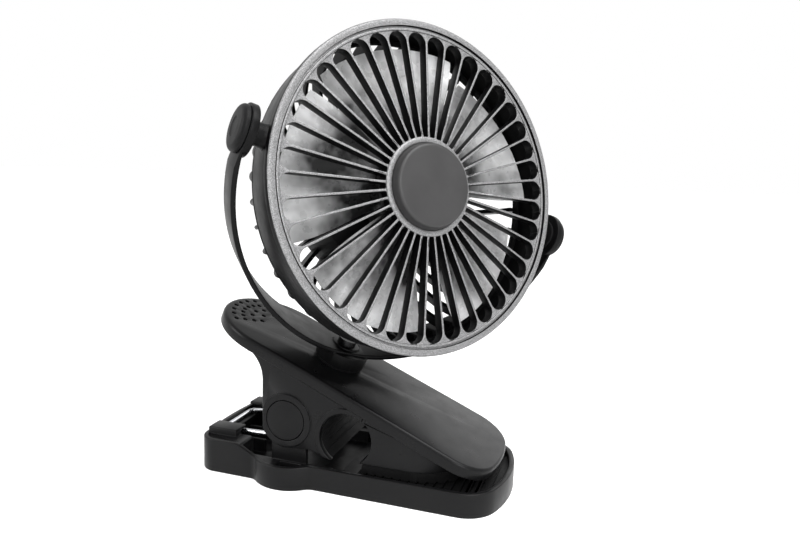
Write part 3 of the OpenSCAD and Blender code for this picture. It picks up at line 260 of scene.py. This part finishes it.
def edge_mask(tree, radius=0.6):
    """Near 1 on rubbed edges and corners, and 0 on open faces."""
    bevel = tree.nodes.new("ShaderNodeBevel")
    bevel.samples = 4
    bevel.inputs["Radius"].default_value = radius * MM
    true = tree.nodes.new("ShaderNodeNewGeometry")
    dot = tree.nodes.new("ShaderNodeVectorMath")
    dot.operation = "DOT_PRODUCT"
    tree.links.new(bevel.outputs["Normal"], dot.inputs[0])
    tree.links.new(true.outputs["Normal"], dot.inputs[1])
    return spread(tree, dot.outputs["Value"], 1, 0, 0.8, 0.985)


def moulded(name, colour, rough, grain=0.02, patches=1500, rubbed=1.5, gloss=0.1):
    """Moulded plastic: fine grain, faint cloudy marks and slightly paler edges."""
    material, tree, shader = node_material(name)
    dark = tuple(v * 0.82 for v in colour)
    pale = tuple(v * 1.25 for v in colour)
    worn = tuple(v * rubbed + 0.004 for v in colour)
    tone = mixed(tree, spread(tree, noise(tree, 45, 4), 0, 1), dark, pale)
    tone = mixed(tree, edge_mask(tree), tone, worn)
    tree.links.new(tone, shader.inputs["Base Color"])
    tree.links.new(spread(tree, noise(tree, 120, 5, 0.6), rough - 0.05, rough + 0.06),
                   shader.inputs["Roughness"])
    shader.inputs["Specular IOR Level"].default_value = gloss
    bumps(tree, shader, noise(tree, patches, 3), grain)
    return material


def hook_edge(one, other):
    """The hooks over the spring are rounder than the rest."""
    on_hook = max(one.z, other.z) > hook_above and min(one.y, other.y) > hook_behind
    return hook_round if on_hook else None


clip_plastic = moulded("clip_plastic", base_black, 0.36, gloss=0.15)
base = rounded_copy("clip_base", "lower_jaw", base_edge_round, edge_radius=hook_edge)
base.data.materials.append(clip_plastic)
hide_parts("lower_jaw")
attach(base, "base")

# ---- Jaw pads and notch lining ----
# Soft black rubber strips with cross grooves, pressed into the base and under the jaw, and a
# ribbed lining that grips a tube in the notch. All three are moulded and dull.
rubber_black = (0.007, 0.007, 0.0072)
pad_rubber = moulded("pad_rubber", rubber_black, 0.62, 0.03, 2400, 1.3, 0.1)
pad_edge_round = 0.18
for pad, node, body in (("lower_pad", "lower_jaw_pad", "base"),
                        ("upper_pad", "upper_jaw_pad", "clip_arm"),
                        ("notch_lining", "tube_grip", "clip_arm")):
    piece = rounded_copy(pad, node, pad_edge_round, 32, 2)
    piece.data.materials.append(pad_rubber)
    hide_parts(node)
    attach(piece, body)

# ---- Spring ----
# One length of bright spring steel wire: a cross bar held down at the rear of the base, a
# coil on each side of the pivot, and two legs that press up under the handle.
wire_d, coil_r, coil_x, coil_pitch = 2.5, 11, 20, 2.7
bail_x, bail_y, bail_z = 14, 69.8, 14.3
pivot = Vector((0, 27.5, 29.6))
jaw_slope = math.radians(23.3)
leg_along, leg_up = 44.85, 23.05
coil_turns, coil_steps = 3, 190
bend_reach, bend_steps = 3, 8
wire_sides = 14


def touch_angle(point, way):
    """The angle at which a line from a point leaves the coil, turning one way or the other."""
    return math.atan2(point.y, point.x) + way * math.acos(coil_r / point.length)


def swept(path, radius, sides):
    """Corners and faces of a closed round wire along a path."""
    last = len(path) - 1
    across = Vector((1, 0, 0))
    corners, faces = [], []
    for i, point in enumerate(path):
        along = (path[min(i + 1, last)] - path[max(i - 1, 0)]).normalized()
        across = (across - along * across.dot(along)).normalized()
        side = along.cross(across)
        for k in range(sides):
            turn = math.tau * k / sides
            corners.append(point + (across * math.cos(turn) + side * math.sin(turn)) * radius)
    for i in range(last):
        for k in range(sides):
            k2 = (k + 1) % sides
            faces.append((i * sides + k, i * sides + k2, (i + 1) * sides + k2, (i + 1) * sides + k))
    faces.append(tuple(reversed(range(sides))))
    faces.append(tuple(last * sides + k for k in range(sides)))
    return corners, faces


def piece_from(name, corners, faces, place=Matrix.Scale(MM, 4), limit=32):
    """An object from corners and faces, with its normals outwards."""
    mesh = bpy.data.meshes.new(name)
    mesh.from_pydata([tuple(c) for c in corners], [], faces)
    shape = bmesh.new()
    shape.from_mesh(mesh)
    bmesh.ops.remove_doubles(shape, verts=shape.verts, dist=0.0005)
    bmesh.ops.recalc_face_normals(shape, faces=shape.faces)
    shape.to_mesh(mesh)
    shape.free()
    mesh.transform(place)
    mesh.shade_smooth()
    mesh.set_sharp_from_angle(angle=math.radians(limit))
    piece = bpy.data.objects.new(name, mesh)
    bpy.context.scene.collection.objects.link(piece)
    return piece


bail = Vector((bail_y - pivot.y, bail_z - pivot.z))
leg_end = Vector((leg_along * math.cos(jaw_slope) - leg_up * math.sin(jaw_slope),
                  leg_along * math.sin(jaw_slope) + leg_up * math.cos(jaw_slope)))
coil_from = touch_angle(bail, -1)
coil_turn = coil_from - touch_angle(leg_end, 1) + coil_turns * math.tau
half_wire = []
start = Vector((coil_x, coil_r * math.cos(coil_from), coil_r * math.sin(coil_from)))
corner = Vector((bail_x, *bail))
leaving = (start - corner).normalized()
for i in range(bend_steps + 1):
    t = i / bend_steps
    half_wire.append(corner + bend_reach * ((1 - t) ** 2 * Vector((-1, 0, 0)) + t ** 2 * leaving))
for i in range(coil_steps + 1):
    t = i / coil_steps
    angle = coil_from - coil_turn * t
    half_wire.append(Vector((coil_x - coil_pitch * coil_turn / math.tau * t,
                             coil_r * math.cos(angle), coil_r * math.sin(angle))))
half_wire.append(Vector((half_wire[-1].x, *leg_end)))
other_half = [Vector((-p.x, p.y, p.z)) for p in reversed(half_wire)]
spring_path = [p + pivot for p in other_half + half_wire]
spring = piece_from("spring", *swept(spring_path, wire_d / 2, wire_sides))


def bright_metal(name, colour, rough, marks=400, squeeze=(1, 1, 1), depth=0.004):
    """Bare or plated metal with fine drawing marks and a slightly uneven shine."""
    material, tree, shader = node_material(name)
    dark = tuple(v * 0.8 for v in colour)
    tree.links.new(mixed(tree, spread(tree, noise(tree, 90, 4), 0, 1), dark, colour),
                   shader.inputs["Base Color"])
    shader.inputs["Metallic"].default_value = 1
    tree.links.new(spread(tree, noise(tree, marks, 4, 0.6, squeeze), rough - 0.08, rough + 0.1),
                   shader.inputs["Roughness"])
    bumps(tree, shader, noise(tree, marks * 3, 3, 0.5, squeeze), depth)
    return material


spring_steel = bright_metal("spring_steel", (0.62, 0.63, 0.65), 0.22)
spring.data.materials.append(spring_steel)
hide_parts("clip_spring")
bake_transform(spring)

# ---- Upper jaw ----
# One black moulding: a long tongue over the hollow block that shuts the mouth, a round handle
# with a patch of small pits, and two ears with the tube notch that turn on the pivot pin.
jaw_place = Matrix.Translation(pivot * MM) @ Matrix.Rotation(jaw_slope, 4, "X")
to_jaw = jaw_place.inverted()
jaw_top, jaw_top_round, jaw_round = 27, 1.7, 0.35
tongue_rim_x, tongue_tip_y = 24, -80
handle_mid, handle_rim_r, handle_from_y = Vector((0, 33.5)), 23.2, 30
jaw_black = (0.0045, 0.0045, 0.0048)


def jaw_edge(one, other):
    """The top edge of the tongue and handle is rounder than the rest."""
    one, other = to_jaw @ (one * MM) / MM, to_jaw @ (other * MM) / MM
    on_top = min(one.z, other.z) > jaw_top - 0.02
    on_tongue = max(abs(one.x), abs(other.x)) > tongue_rim_x or one.y < tongue_tip_y
    from_mid = min((one.xy - handle_mid).length, (other.xy - handle_mid).length)
    on_handle = from_mid > handle_rim_r and one.y > handle_from_y
    return jaw_top_round if on_top and (on_tongue or on_handle) else None


jaw_plastic = moulded("jaw_plastic", jaw_black, 0.31, 0.012, 1700, gloss=0.14)
jaw = rounded_copy("jaw", "upper_jaw", jaw_round, 32, 4, jaw_edge)
jaw.data.materials.append(jaw_plastic)
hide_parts("upper_jaw")
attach(jaw, "clip_arm")

# ---- Pivot pin and caps ----
# A steel pin through the ears and lugs, with a flush round black cap over each end.
pin_steel = bright_metal("pin_steel", (0.55, 0.56, 0.58), 0.3)


def finish(material, *names):
    """Gives CAD nodes that stay in view their material."""
    for name in names:
        for place in nodes[name].material_slots:
            place.material = material


finish(pin_steel, "pivot_pin")
cap_plastic = moulded("cap_plastic", jaw_black, 0.4, 0.015, gloss=0.14)
for side in ("left", "right"):
    cap = rounded_copy("pin_cap_" + side, "pivot_cap_" + side, 0.3)
    cap.data.materials.append(cap_plastic)
    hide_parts("pivot_cap_" + side)
    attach(cap, "clip_arm")

# ---- Swivel ----
# A zinc-plated bolt, washer and nut clamp the yoke's foot on the jaw over a rubber disc.
zinc = bright_metal("zinc_plate", (0.56, 0.57, 0.56), 0.34, 250)
finish(bright_metal("black_zinc", (0.035, 0.035, 0.036), 0.36, 250), "swivel_bolt")
finish(zinc, "swivel_washer", "swivel_nut")
finish(pad_rubber, "swivel_friction_disc")

# ---- Yoke ----
# A half ring of black plastic band with a round foot on the swivel and a round end on each
# arm, where a tilt screw holds the head.
swivel_back, tilt_axis_up, yoke_turn = 3.87, 118.6, math.radians(-44.4)
yoke_place = jaw_place @ Matrix.Translation(
    Vector((0, -swivel_back, tilt_axis_up)) * MM) @ Matrix.Rotation(yoke_turn, 4, "Z")
yoke_black = (0.0035, 0.0035, 0.0037)
yoke_plastic = moulded("yoke_plastic", yoke_black, 0.38, 0.018)
yoke = rounded_copy("yoke_band", "yoke", 0.5, 32, 3)
yoke.data.materials.append(yoke_plastic)
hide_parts("yoke")
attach(yoke, "yoke")

# ---- Knobs ----
# Low domed black covers, moulded in one piece and pushed over the tilt screws' heads.
knob_r, knob_h, knob_x = 10, 3.5, 83.8
knob_wall_h, knob_round_r = 1.1, 2.6
dimple_r, dimple_deep = 4.4, 0.4
knob_rings, knob_sides = 10, 72


def turned(profile, sides, start=0.0):
    """Corners and faces of a profile of (radius, height) turned about Z.

    A profile closes at radius 0, or by ending where it began."""
    corners, faces = [], []
    for k in range(sides):
        turn = start + math.tau * k / sides
        corners += [(r * math.cos(turn), r * math.sin(turn), z) for r, z in profile]
    count = len(profile)
    for k in range(sides):
        this, that = k * count, (k + 1) % sides * count
        for i in range(count - 1):
            face = [this + i, that + i, that + i + 1, this + i + 1]
            if profile[i][0] == 0:
                face.pop(1)
            elif profile[i + 1][0] == 0:
                face.pop(2)
            faces.append(tuple(face))
    return corners, faces


knob_profile = [(0, 0), (knob_r - 0.4, 0), (knob_r, 0.4), (knob_r, knob_wall_h)]
for i in range(1, knob_rings + 1):
    t = math.radians(90 * i / knob_rings)
    knob_profile.append((knob_r - knob_round_r + knob_round_r * math.cos(t),
                         knob_wall_h + (knob_h - 1.3) * math.sin(t)))
knob_profile += [(dimple_r, knob_h - 0.05), (dimple_r - 0.5, knob_h - dimple_deep + 0.05),
                 (dimple_r - 1.1, knob_h - dimple_deep), (0, knob_h - dimple_deep)]
knob_rubber = moulded("knob_rubber", (0.006, 0.006, 0.0063), 0.44, 0.02, 1900, 1.4, 0.1)
for side, turn in (("left", -90), ("right", 90)):
    place = yoke_place @ Matrix.Rotation(math.radians(turn), 4, "Y") @ Matrix.Translation(
        (0, 0, knob_x * MM)) @ Matrix.Scale(MM, 4)
    knob = piece_from("tilt_knob_" + side, *turned(knob_profile, knob_sides), place)
    knob.data.materials.append(knob_rubber)
    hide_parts("knob_" + side)
    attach(knob, "yoke")

# ---- Tilt screws ----
# Shouldered steel screws on which the head tilts, each with a rubber friction washer.
finish(zinc, "tilt_screw_left", "tilt_screw_right")
finish(pad_rubber, "tilt_washer_left", "tilt_washer_right")

# ---- Drum ----
# The head's black plastic side wall, slightly wider at the front, with a round neck on each
# side that the yoke's arms hold.
head_tilt = math.radians(90 - 28.1)
head_place = yoke_place @ Matrix.Rotation(head_tilt, 4, "X")
in_head = head_place @ Matrix.Scale(MM, 4)
drum_bore_r, drum_rear_r, drum_front_r = 71.3, 73.35, 74.57
drum_front_z, drum_rear_z = 5.0, -11.4
neck_r, neck_root_r, neck_from, neck_to = 5.0, 6.4, 72.0, 79.25
drum_plastic = moulded("drum_plastic", (0.004, 0.004, 0.0043), 0.4, 0.02, 1500)
drum_profile = [(drum_bore_r, drum_rear_z), (drum_rear_r - 0.45, drum_rear_z),
                (drum_rear_r - 0.15, drum_rear_z + 0.1), (drum_rear_r, drum_rear_z + 0.4),
                (drum_front_r, drum_front_z - 0.5), (drum_front_r - 0.02, drum_front_z - 0.2),
                (drum_front_r - 0.27, drum_front_z), (drum_bore_r, drum_front_z),
                (drum_bore_r, drum_rear_z)]
neck_profile = [(0, neck_from), (neck_root_r, neck_from), (neck_root_r, neck_from + 1.6),
                (neck_r + 0.5, neck_from + 2.3), (neck_r + 0.1, neck_from + 3.2),
                (neck_r, neck_from + 4.5), (neck_r, neck_to - 0.25), (neck_r - 0.2, neck_to),
                (0, neck_to)]
corners, faces = turned(drum_profile, 240)
for turn in (-90, 90):
    tip = Matrix.Rotation(math.radians(turn), 4, "Y")
    more, more_faces = turned(neck_profile, 48)
    first = len(corners)
    corners += [tuple(tip @ Vector(c)) for c in more]
    faces += [tuple(first + i for i in face) for face in more_faces]
drum = piece_from("drum_wall", corners, faces, in_head)
drum.data.materials.append(drum_plastic)
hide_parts("drum")
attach(drum, "head")

# ---- Front grille ----
# A moulded ring and plate with forty round-ended slots, painted in a fine metallic grey whose
# flakes catch the light.
paint_dark, paint_pale = (0.14, 0.14, 0.143), (0.34, 0.34, 0.343)
paint_facing = 0.6
grille_paint, tree, shader = node_material("grille_paint")
flakes = spread(tree, noise(tree, 2600, 2, 0.7), 0, 1, 0.42, 0.62)
tree.links.new(mixed(tree, flakes, paint_dark, paint_pale), shader.inputs["Base Color"])
shader.inputs["Metallic"].default_value = 0.55
tree.links.new(spread(tree, noise(tree, 700, 3), 0.38, 0.55), shader.inputs["Roughness"])
bumps(tree, shader, noise(tree, 2600, 2, 0.7), 0.02)
grille = rounded_copy("slotted_front", "front_grille", 0.15, 28, 2, flat_limit=0)
grille.data.materials.append(drum_plastic)
grille.data.materials.append(grille_paint)
facing = head_place.to_3x3() @ Vector((0, 0, 1))
for face in grille.data.polygons:
    face.material_index = int(face.normal.dot(facing) > paint_facing)
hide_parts("front_grille")
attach(grille, "head")

# ---- Hub ring and cap ----
# A low painted ring round the middle of the grille, and a satin black cap snapped inside it.
plate_z = 10.6
ring_in_r, ring_out_r, ring_h = 19.6, 22.2, 0.8
ring_profile = [(ring_in_r, 0), (ring_out_r, 0), (ring_out_r, ring_h - 0.6),
                (ring_out_r - 0.2, ring_h - 0.3), (ring_out_r - 0.7, ring_h - 0.08),
                (ring_out_r - 1.4, ring_h), (ring_in_r + 0.4, ring_h), (ring_in_r + 0.15, ring_h - 0.1),
                (ring_in_r, ring_h - 0.35), (ring_in_r, 0)]
ring_on_plate = [(r, z + plate_z) for r, z in ring_profile]
hub_ring = piece_from("hub_trim", *turned(ring_on_plate, 160), in_head, 50)
hub_ring.data.materials.append(grille_paint)
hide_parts("hub_ring")
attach(hub_ring, "head")

cap_foot_r, cap_face_r, cap_h = 19.55, 17.0, 5.0
cap_profile = [(cap_face_r + 0.9, 0), (cap_foot_r, 0), (cap_foot_r - 0.4, 2.2), (cap_foot_r - 0.8, 3.9),
               (cap_face_r + 1.55, cap_h - 0.65), (cap_face_r + 1.2, cap_h - 0.28),
               (cap_face_r + 0.7, cap_h - 0.06), (cap_face_r, cap_h), (0, cap_h)]
cap_on_plate = [(r, z + plate_z) for r, z in cap_profile]
hub_black = (0.03, 0.0295, 0.03)
hub_cap = piece_from("hub_cover", *turned(cap_on_plate, 160), in_head, 40)
hub_cap.data.materials.append(moulded("hub_plastic", hub_black, 0.46, 0.03, 2100, 1.4, 0.4))
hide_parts("hub_cap")
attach(hub_cap, "head")

# ---- Rear grille and housing ----
# Forty curved black ribs from the drum's rear edge to a round housing that holds the motor,
# the cell and the circuit board, all one moulding.
rib_count, rib_t, rib_depth = 40, 2.0, 6
dome_mid, dome_z, dome_r = 31.46, -7.74, 42
rib_from, rib_to = 6.2, 82
housing_r, housing_wall, housing_front, housing_rear = 38, 2, -21, -49.98
rib_rows = 24
rib_section = [(0, 0)]
for i in range(9):
    t = math.radians(180 * i / 8)
    rib_section.append((rib_t / 2 * math.cos(t), rib_depth - rib_t / 2 + rib_t / 2 * math.sin(t)))
rib_section[0] = (rib_t / 2, 0)
rib_section.append((-rib_t / 2, 0))
corners, faces = [], []
for j in range(rib_rows + 1):
    turn = -math.radians(rib_from + (rib_to - rib_from) * j / rib_rows)
    for across, out in rib_section:
        reach = dome_r - rib_depth + out
        corners.append((max(dome_mid + reach * math.cos(turn), housing_r - 0.6), across,
                        dome_z + reach * math.sin(turn)))
count = len(rib_section)
for j in range(rib_rows):
    for i in range(count):
        i2 = (i + 1) % count
        faces.append((j * count + i, j * count + i2, (j + 1) * count + i2, (j + 1) * count + i))
faces.append(tuple(range(count)))
faces.append(tuple(rib_rows * count + i for i in reversed(range(count))))
rear_plastic = moulded("rear_plastic", (0.004, 0.004, 0.0043), 0.42, 0.02, 1500)


def round_copies(name, one, material, count, first, step):
    """Copies of a small mesh turned about Z, made by Geometry Nodes and kept as one plain mesh."""
    tree = bpy.data.node_groups.new(name, "GeometryNodeTree")
    sockets = tree.interface
    sockets.new_socket("Shape", in_out="INPUT", socket_type="NodeSocketGeometry")
    named = {label: sockets.new_socket(label, in_out="INPUT", socket_type=kind) for label, kind in (
        ("Count", "NodeSocketInt"), ("First turn", "NodeSocketFloat"),
        ("Turn between", "NodeSocketFloat"), ("Finish", "NodeSocketMaterial"))}
    sockets.new_socket("Shape", in_out="OUTPUT", socket_type="NodeSocketGeometry")
    add, link = tree.nodes.new, tree.links.new
    given, made = add("NodeGroupInput"), add("NodeGroupOutput")
    points, index = add("GeometryNodePoints"), add("GeometryNodeInputIndex")
    along, angle = add("ShaderNodeMath"), add("ShaderNodeCombineXYZ")
    copies, real, paint = (add("GeometryNodeInstanceOnPoints"), add("GeometryNodeRealizeInstances"),
                           add("GeometryNodeSetMaterial"))
    along.operation = "MULTIPLY_ADD"
    link(given.outputs["Count"], points.inputs["Count"])
    link(index.outputs[0], along.inputs[0])
    link(given.outputs["Turn between"], along.inputs[1])
    link(given.outputs["First turn"], along.inputs[2])
    link(along.outputs[0], angle.inputs["Z"])
    link(points.outputs[0], copies.inputs["Points"])
    link(given.outputs["Shape"], copies.inputs["Instance"])
    link(angle.outputs[0], copies.inputs["Rotation"])
    link(copies.outputs[0], real.inputs[0])
    link(real.outputs[0], paint.inputs["Geometry"])
    link(given.outputs["Finish"], paint.inputs["Material"])
    link(paint.outputs[0], made.inputs[0])
    made_by = one.modifiers.new(name, "NODES")
    made_by.node_group = tree
    for label, value in (("Count", count), ("First turn", math.radians(first)),
                         ("Turn between", math.radians(step)), ("Finish", material)):
        made_by[named[label].identifier] = value
    plain(one, 40)
    one.data.transform(in_head)
    return one


one_rib = piece_from("rear_ribs", corners, faces, Matrix.Identity(4), 40)
ribs = round_copies("ribs_round", one_rib, rear_plastic, rib_count, 0.5, 360 / rib_count)
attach(ribs, "head")

shell_profile = [(0, housing_front), (housing_r - 0.8, housing_front),
                 (housing_r - 0.2, housing_front - 0.3), (housing_r, housing_front - 0.9),
                 (housing_r, housing_rear), (housing_r - housing_wall, housing_rear),
                 (housing_r - housing_wall, housing_front - housing_wall),
                 (0, housing_front - housing_wall)]
rim_in_r, rim_out_r, rim_rear_z, lip_r, lip_front_z = 69.7, 73.3, -12.85, 71.0, -9.0
rim_profile = [(rim_in_r, lip_front_z), (lip_r, lip_front_z), (lip_r + 0.05, drum_rear_z - 0.05),
               (rim_out_r - 0.2, drum_rear_z - 0.05), (rim_out_r, drum_rear_z - 0.3),
               (rim_out_r - 0.05, rim_rear_z + 0.3), (rim_out_r - 0.4, rim_rear_z),
               (rim_in_r + 0.3, rim_rear_z), (rim_in_r, rim_rear_z + 0.25), (rim_in_r, lip_front_z)]
corners, faces = turned(shell_profile, 160)
more, more_faces = turned(rim_profile, 200)
faces += [tuple(len(corners) + i for i in face) for face in more_faces]
corners += more
housing = piece_from("rear_housing", corners, faces, in_head)
housing.data.materials.append(rear_plastic)
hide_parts("rear_grille")
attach(housing, "head")

cover = rounded_copy("rear_lid", "rear_cover", 0.25, 28, 2)
cover.data.materials.append(rear_plastic)
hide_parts("rear_cover")
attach(cover, "head")

# ---- Button, charging socket, lens and cover screws ----
# A round push button and a small lens side by side, the socket's plated shell below them, and
# three small screws that hold the cover on.
button = rounded_copy("push_button", "power_button", 0.3)
button.data.materials.append(moulded("button_plastic", (0.011, 0.011, 0.0115), 0.45, 0.015))
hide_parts("power_button")
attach(button, "button")
finish(bright_metal("socket_plate", (0.6, 0.6, 0.6), 0.3), "usb_socket")
finish(bright_metal("screw_steel", (0.3, 0.3, 0.31), 0.35), "cover_screws")
lens_finish, tree, shader = node_material("lens_smoke")
tree.links.new(mixed(tree, noise(tree, 600, 2), (0.45, 0.47, 0.48), (0.62, 0.64, 0.65)),
               shader.inputs["Base Color"])
shader.inputs["Transmission Weight"].default_value = 0.6
tree.links.new(spread(tree, noise(tree, 500, 2), 0.12, 0.3), shader.inputs["Roughness"])
bumps(tree, shader, noise(tree, 900, 2), 0.005)
finish(lens_finish, "status_lens")

# ---- Blades ----
# Five wide swept blades on a round hub, one moulding in a pale clear plastic that lets
# the light through; its colour carries painted shade that darkens it towards the hub.
blade_count, blade_r, hub_r, blade_h, blade_z = 5, 65, 20.5, 13, -10.5
blade_span, blade_first_turn = 66, 3.5
blade_t, tip_thinning, tip_sweep = 1.1, 0.35, 0.1
blade_edge_h, blade_root_lap = 0.04, 0.8
blade_rows, blade_columns = 22, 20
corners, faces = [], []
for side in (1, -1):
    for j in range(blade_rows + 1):
        for i in range(blade_columns + 1):
            up = i / blade_columns
            out = j / blade_rows
            radius = hub_r - blade_root_lap + (blade_r - hub_r + blade_root_lap) * out
            lead = 0.5 + (up - 0.5) * (1 - tip_sweep * out ** 3)
            turn = math.radians(-blade_span * lead + blade_first_turn)
            thin = blade_t / 2 * math.sqrt(max(0, 1 - (2 * up - 1) ** 4)) * (1 - tip_thinning * out)
            height = blade_z + blade_h * (blade_edge_h + (1 - 2 * blade_edge_h) * lead)
            corners.append((radius * math.cos(turn), radius * math.sin(turn), height + side * thin))
row = blade_columns + 1
sheet = (blade_rows + 1) * row
for j in range(blade_rows):
    for i in range(blade_columns):
        a = j * row + i
        faces.append((a, a + row, a + row + 1, a + 1))
        faces.append((sheet + a, sheet + a + 1, sheet + a + row + 1, sheet + a + row))
for j in range(blade_rows):
    for i in (0, blade_columns):
        a, b = j * row + i, (j + 1) * row + i
        faces.append((a, b, sheet + b, sheet + a))
for i in range(blade_columns):
    for j in (0, blade_rows):
        a = j * row + i
        faces.append((a, a + 1, sheet + a + 1, sheet + a))
# The plastic is pale at the tips; nearer the hub its colour turns to a near-black painted shade, the
# edge of that shade in soft uneven patches.
blade_hub_shade, blade_pale = (0.02, 0.02, 0.0205), (0.84, 0.845, 0.85)
patch_depth, shade_below, pale_above = 3.2, 1.75, 2.75
blade_plastic, tree, shader = node_material("blade_plastic")
outward = tree.nodes.new("ShaderNodeAttribute")
outward.attribute_name = "reach"
patching = tree.nodes.new("ShaderNodeMath")
patching.operation = "MULTIPLY_ADD"
tree.links.new(noise(tree, 26, 4, 0.6), patching.inputs[0])
patching.inputs[1].default_value = patch_depth
tree.links.new(outward.outputs["Fac"], patching.inputs[2])
# How far each point is out of the painted shade near the hub.
paleness = spread(tree, patching.outputs[0], 0, 1, shade_below, pale_above)
tree.links.new(mixed(tree, paleness, blade_hub_shade, blade_pale),
               shader.inputs["Base Color"])
shader.inputs["Transmission Weight"].default_value = 0.15
shader.inputs["IOR"].default_value = 1.3
tree.links.new(spread(tree, noise(tree, 200, 3), 0.24, 0.34), shader.inputs["Roughness"])
bumps(tree, shader, noise(tree, 300, 2), 0.003)
one_blade = piece_from("fan_rotor", corners, faces, Matrix.Identity(4), 40)
far_out = one_blade.data.attributes.new("reach", "FLOAT", "POINT")
for point, corner in zip(far_out.data, one_blade.data.vertices):
    point.value = (corner.co.xy.length - hub_r) / (blade_r - hub_r)
blades = round_copies("blades_round", one_blade, blade_plastic, blade_count, 0, 360 / blade_count)
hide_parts("fan_blades")
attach(blades, "rotor")
hub_face_z, hub_rear_z, hub_bore_r, hub_floor_z = 1.95, -16, 18.2, -0.4
hub_profile = [(0, hub_face_z), (hub_bore_r, hub_face_z), (hub_r - 0.9, hub_face_z - 0.35),
               (hub_r - 0.2, hub_face_z - 1.05), (hub_r, 0), (hub_r, hub_rear_z + 0.4),
               (hub_r - 0.3, hub_rear_z), (hub_bore_r + 0.3, hub_rear_z),
               (hub_bore_r, hub_rear_z + 0.3), (hub_bore_r, hub_floor_z), (0, hub_floor_z)]
hub = piece_from("rotor_hub", *turned(hub_profile, 120), in_head)
# The hub takes the blades' finish, so it shows the same dark painted shade.
hub.data.materials.append(blade_plastic)
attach(hub, "rotor")

# ---- Motor ----
# An outer-rotor motor: a steel can with a magnet ring spins round a wound stator on the
# bearing tube. It is all behind the hub.
finish(bright_metal("can_steel", (0.5, 0.5, 0.51), 0.32), "rotor_can", "motor_shaft", "shaft_clip")
finish(bright_metal("bearing_steel", (0.6, 0.6, 0.6), 0.2),
       "front_bearing", "rear_bearing", "motor_screws")
finish(bright_metal("core_steel", (0.25, 0.25, 0.26), 0.4, 900), "stator_core")
finish(bright_metal("copper_wire", (0.62, 0.26, 0.11), 0.3, 1500), "stator_windings")
finish(moulded("magnet_black", (0.03, 0.03, 0.032), 0.6), "magnet_ring")
inner_plastic = moulded("inner_plastic", (0.016, 0.016, 0.017), 0.5)
finish(inner_plastic, "bearing_tube", "battery_holder")

# ---- Cell and circuit board ----
# One round rechargeable cell in a holder, brass contacts, insulated leads and a small green
# circuit board inside the rear housing.
finish(moulded("cell_wrap", (0.03, 0.12, 0.35), 0.35), "battery_cell")
finish(bright_metal("contact_brass", (0.62, 0.45, 0.16), 0.3), "battery_contacts")
finish(moulded("lead_red", (0.32, 0.02, 0.02), 0.4), "battery_leads")
finish(moulded("lead_yellow", (0.5, 0.35, 0.04), 0.4), "motor_leads")
finish(moulded("board_green", (0.01, 0.09, 0.035), 0.3), "circuit_board")
